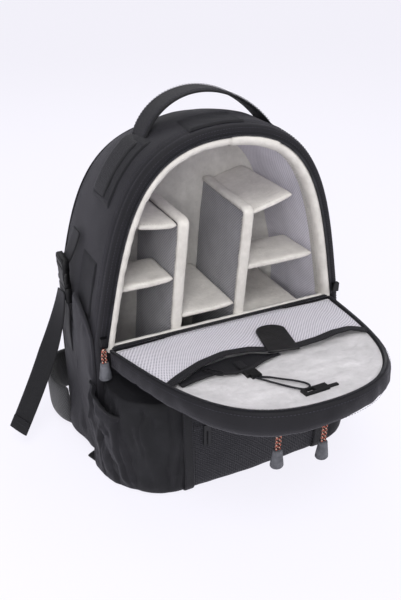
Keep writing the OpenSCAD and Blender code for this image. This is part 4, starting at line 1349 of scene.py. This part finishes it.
def buckle(side, name):
    """Side-release buckle: a waisted socket with a raised bar, and a plug with two prongs in the waist."""
    middle = 28.0

    def on_side(base):
        return lambda u, v, h: np.array(((153.0 + base + h) * side, middle + u, v))

    def waisted(levels):
        right = [(half, z) for z, half in levels]
        return np.array(right + [(-half, z) for half, z in right[::-1]])
    body = "plug_" + name
    shell = waisted([(195.6, 13.6), (196.6, 14.8), (200.5, 14.8), (203.5, 11.6), (212, 11.6), (215.5, 14.6),
                     (227.6, 14.6), (229.2, 13)])
    plate("socket_shell_" + name, on_side(0.2), shell, 7.4, 1.8, "bag", ["buckle_sockets"] if side < 0
          else ())
    for k, (z0, z1) in enumerate(((217.5, 219.6), (224.0, 226.6))):
        plate("socket_bar_%s_%d" % (name, k), on_side(7.2), round_rect(-11.5, z0, 11.5, z1, 0.9), 1.0, 0.4,
              "bag")
    block = waisted([(175.2, 12.6), (176.4, 14.4), (184, 15.0), (193.4, 14.6), (194.9, 13.2)])
    plate("plug_block_" + name, on_side(0.2), block, 7.2, 1.8, body, ["buckle_plug_" + name])
    plate("plug_bar_" + name, on_side(7.0), round_rect(-11, 179.5, 11, 182.2, 0.9), 1.0, 0.4, body)
    for s in (-1, 1):
        prong = [(s * u, z) for u, z in ((11.9, 195.2), (14.4, 195.6), (15.0, 203), (15.3, 209),
                                         (14.3, 213.6), (12.2, 214.4))]
        plate("plug_prong_%s_%d" % (name, (s + 1) // 2), on_side(2.0), prong, 4.2, 0.9, body)


buckle(-1, "left")
buckle(1, "right")


def handle():
    ctrl = [(-71, 357), (-52, 409), (20, 419), (73, 361)]
    xz = bezier(ctrl, np.linspace(0, 1, 90))
    path = np.column_stack([xz[:, 0], np.full(90, 0.0), xz[:, 1]])
    squeeze = 1 - 0.05 * np.sin(np.linspace(0, math.pi, 90)) ** 2
    ob = sweep("handle_web", path, [(x, y * 1.7) for x, y in web_section(37, 1.9, 16)], (0.0, 0.0, 1.0),
               scale=squeeze)
    finish_object(ob, M_WEB, "handle", ["carry_handle"])
    _, side, top = frames_along(path, (0, 0, 1.0))
    for w in (-15.5, -12.7, 12.7, 15.5):
        stitch("handle", path + side * w * squeeze[:, None] + top * 1.9, top, pitch=3.4, length=2.4, r=0.3)
    for s, name in ((-1, "left"), (1, "right")):
        # the webbing runs down on to the bag and is boxed in with stitches
        base = arch_base(400)
        normals = out_normals(base)
        end = xz[-1] if s > 0 else xz[0]
        skin = np.array([dropped(base[i] + normals[i] * 15.0, 0.0) for i in range(190, 99, -1)])
        skin = skin[skin[:, 0] > abs(end[0]) + 8][::8]
        foot = smooth_path(np.vstack([[(abs(end[0]), 0, end[1])], skin]) * (s, 1, 1), 40)
        ob = sweep("handle_foot_" + name, foot, [(x, y * 1.3) for x, y in web_section(35, 1.9, 14)],
                   (s * 0.85, 0, 0.53))
        finish_object(ob, M_WEB, None)
        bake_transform(ob)
        patch = arch_patch(100, 152, 26, 13.6, np.linspace(-34, 22, 30))
        lift = turned_edge(patch, 1.2, -0.4) + 0.4 * bumps(patch, 14, 77)
        patch += lift[..., None] * np.array((0.75, 0, 0.66))
        patch[..., 0] *= s
        finish_object(grid("handle_patch_" + name, patch, flip=s > 0), M_NYLON_DARK, "bag")
        corners = [patch[2, 2], patch[-3, 2], patch[-3, -3], patch[2, -3], patch[2, 2]]
        up = np.array((0.75 * s, 0, 0.66))
        for a, b in zip(corners, corners[1:]):
            stitch("bag", np.linspace(a, b, 12) + up * 0.6, up, pitch=3.0, length=2.1, r=0.28)
    patch = arch_patch(186, 226, 24, 13.2, np.linspace(-59, -19, 20))
    patch[..., 2] += turned_edge(patch, 1.4, -0.3) + 0.5 * bumps(patch, 12, 79)
    finish_object(grid("top_patch", patch, flip=True), M_NYLON_DARK, "bag")
    stitch("bag", patch_border(patch) + (0, 0, 0.4), (0, 0, 1), pitch=3.0, length=2.1, r=0.28)


handle()


# ---------------------------------------------------------------- harness on the back
SHOULDER = [(BACK_Y + 5, 316), (BACK_Y + 52, 312), (BACK_Y + 38, 230), (BACK_Y + 26, 128)]


def pad_block(name, place, la, lb, thick, body, node, na=44):
    """A foam pad covered in mesh."""
    ob = board(name, place, la, lb, thick, na, 26, power=5)
    finish_object(merge_close(ob), M_PAD, body, [node] if node else ())


def harness():
    first = True
    for s, name in ((-1, "left"), (1, "right")):
        def pad(a, b, c, s=s):
            groove = 3.2 * sum(np.exp(-((a - m) / 3.5) ** 2) for m in (48, 95, 142))
            y = BACK_Y + 5.5 + np.where(c > 0, np.maximum(c + 1.4 - groove, -4), c)
            return np.stack([(16 + b) * s, y, 110 + a + 0 * y], -1)
        pad_block("back_pad_" + name, pad, 190, 54, 9.0, "bag", "back_pads" if first else None)

        def shoulder(a, b, c, s=s):
            t = a / 215
            p = bezier(SHOULDER, t)
            q = bezier(SHOULDER, np.clip(t + 0.01, 0, 1))
            r = bezier(SHOULDER, np.clip(t - 0.01, 0, 1))
            d = (q - r) / (np.linalg.norm(q - r, axis=-1)[..., None] + 1e-9)
            half = 27 - 9 * np.clip(t - 0.55, 0, 1) / 0.45
            x = 52 + (b / 54 - 0.5) * 2 * half
            return np.stack([x * s, p[..., 0] - d[..., 1] * c, p[..., 1] + d[..., 0] * c], -1)
        pad_block("shoulder_pad_" + name, shoulder, 215, 54, 10.0, "bag", "shoulder_straps" if first
                  else None)
        curve = bezier(SHOULDER, np.linspace(0.12, 0.97, 60))
        path = np.column_stack([np.full(60, 52.0 * s), curve[:, 0] + 5.6, curve[:, 1] + 1.5])
        web("shoulder_web_" + name, path, 22, 1.6, (0, 1.0, 0.1), "bag")
        curve = bezier([(BACK_Y + 30, 112.6), (BACK_Y + 36, 96), (BACK_Y + 24, 60), (BACK_Y + 17, 40)],
                       np.linspace(0, 1, 40))
        path = np.column_stack([np.full(40, 52.0 * s), curve])
        web("lower_web_" + name, path, 25, 1.6, (0, 1.0, 0.1), "bag", ["lower_webs"] if first else ())

        def belt(a, b, c, s=s):
            t = a / 142
            plan = smooth_path([(124, 95), (146, 96), (166, 91), (177, 74), (181, 52), (178, 30), (171, 13)],
                               80)
            run = unit(np.gradient(plan, axis=0))
            x, y = (np.interp(t, np.linspace(0, 1, 80), plan[:, k]) for k in (0, 1))
            rx, ry = (np.interp(t, np.linspace(0, 1, 80), run[:, k]) for k in (0, 1))
            z = 36 + (b / 58 - 0.5) * (58 - 10 * np.clip(t - 0.5, 0, 1))
            return np.stack([(x - ry * -c) * s, y + rx * -c, z], -1)
        pad_block("belt_pad_" + name, belt, 142, 58, 10.0, "belt_" + name, "hip_belt_" + name)
        first = False

    def lumbar(a, b, c):
        groove = 3.5 * (np.exp(-((a - 48) / 4) ** 2) + np.exp(-((a - 142) / 4) ** 2))
        y = BACK_Y + 8 + np.where(c > 0, c + 1.5 - groove, c)
        return np.stack([a - 95, y, 24 + b], -1)
    pad_block("lumbar_pad", lumbar, 190, 68, 14.0, "bag", "back_pads", na=50)
    y = BACK_Y + 44.6
    path = np.column_stack([np.linspace(-66, 66, 40), np.full(40, y) + 0.8 * np.cos(np.linspace(-3, 3, 40)),
                            np.full(40, 236.0)])
    web("sternum_web", path, 20, 1.6, (0, 1.0, 0.0), "sternum", ["sternum_strap"])

    def on_back(base):
        return lambda u, v, h: np.array((u, base + h, v))
    plate("sternum_clip", on_back(y + 0.9), round_rect(-22, 225, 22, 247, 5), 6.0, 1.6, "sternum")
    for s, name in ((-1, "left"), (1, "right")):
        shape = [(x * s, z) for x, z in round_rect(55, 224, 70, 248, 3)]
        plate("sternum_slide_" + name, on_back(y + 0.9), shape, 3.2, 1.0, "sternum")


harness()


# ---------------------------------------------------------------- carried-over solids get their finish
def finish_nodes():
    looks = {"main_sliders": M_SLIDER, "flap_slider_left": M_SLIDER, "flap_slider_right": M_SLIDER,
             "front_slider": M_SLIDER, "ladder_locks": M_PLASTIC, "leash_buckle": M_PLASTIC,
             "leash_clasp": M_PLASTIC,
             "hinge_binding": M_WEB_CAD, "flap_pocket": M_NYLON_DARK, "flap_pocket_zip": M_COIL}
    for node, material in looks.items():
        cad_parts[node].data.materials.clear()
        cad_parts[node].data.materials.append(material)


finish_nodes()


def flush_stitches():
    for group, (verts, faces) in STITCH.items():
        pale = group.endswith("pale") or group.startswith("thread_shelf")
        body = group.replace("thread_", "").replace("_pale", "")
        ob = new_mesh("stitches_" + group.replace("thread_", ""), verts, faces)
        finish_object(ob, M_THREAD_PALE if pale else M_THREAD, body)


flush_stitches()


# ---------------------------------------------------------------- stage
def stage():
    data = bpy.data.meshes.new("floor")
    data.from_pydata([(-40, -6, 0), (40, -6, 0), (40, 60, 0), (-40, 60, 0)], [], [(0, 1, 2, 3)])
    floor = bpy.data.objects.new("floor", data)
    bpy.context.collection.objects.link(floor)
    g = Graph("floor_paper")
    g.shader.inputs["Base Color"].default_value = (0.16, 0.158, 0.168, 1)
    g.shader.inputs["Roughness"].default_value = 0.9
    g.shader.inputs["Specular IOR Level"].default_value = 0.1
    g.shader.inputs["Emission Color"].default_value = (0.94, 0.925, 1.0, 1)
    g.shader.inputs["Emission Strength"].default_value = 0.86
    data.materials.append(g.material)
    world = bpy.data.worlds.new("studio")
    bpy.context.scene.world = world
    world.use_nodes = True
    world.node_tree.nodes["Background"].inputs[0].default_value = (0.95, 0.945, 1.0, 1)
    world.node_tree.nodes["Background"].inputs[1].default_value = 0.45
    for name, place, aim, size, power in (("key", (-0.45, -1.15, 2.1), (0, -0.05, 0.2), 1.0, 20),
                                          ("fill", (1.5, -1.1, 1.3), (0, -0.05, 0.2), 1.2, 9),
                                          ("front", (-0.9, -1.5, 0.95), (0, -0.05, 0.22), 0.7, 15),
                                          ("back", (0.1, 1.2, 1.6), (0, 0, 0.25), 1.2, 8)):
        light = bpy.data.lights.new(name, "AREA")
        light.energy, light.size = power, size
        ob = bpy.data.objects.new(name, light)
        ob.location = place
        ob.rotation_mode = "QUATERNION"
        ob.rotation_quaternion = (Vector(aim) - Vector(place)).to_track_quat("-Z", "Y")
        bpy.context.collection.objects.link(ob)
    bpy.context.scene.view_settings.view_transform = "Standard"


stage()
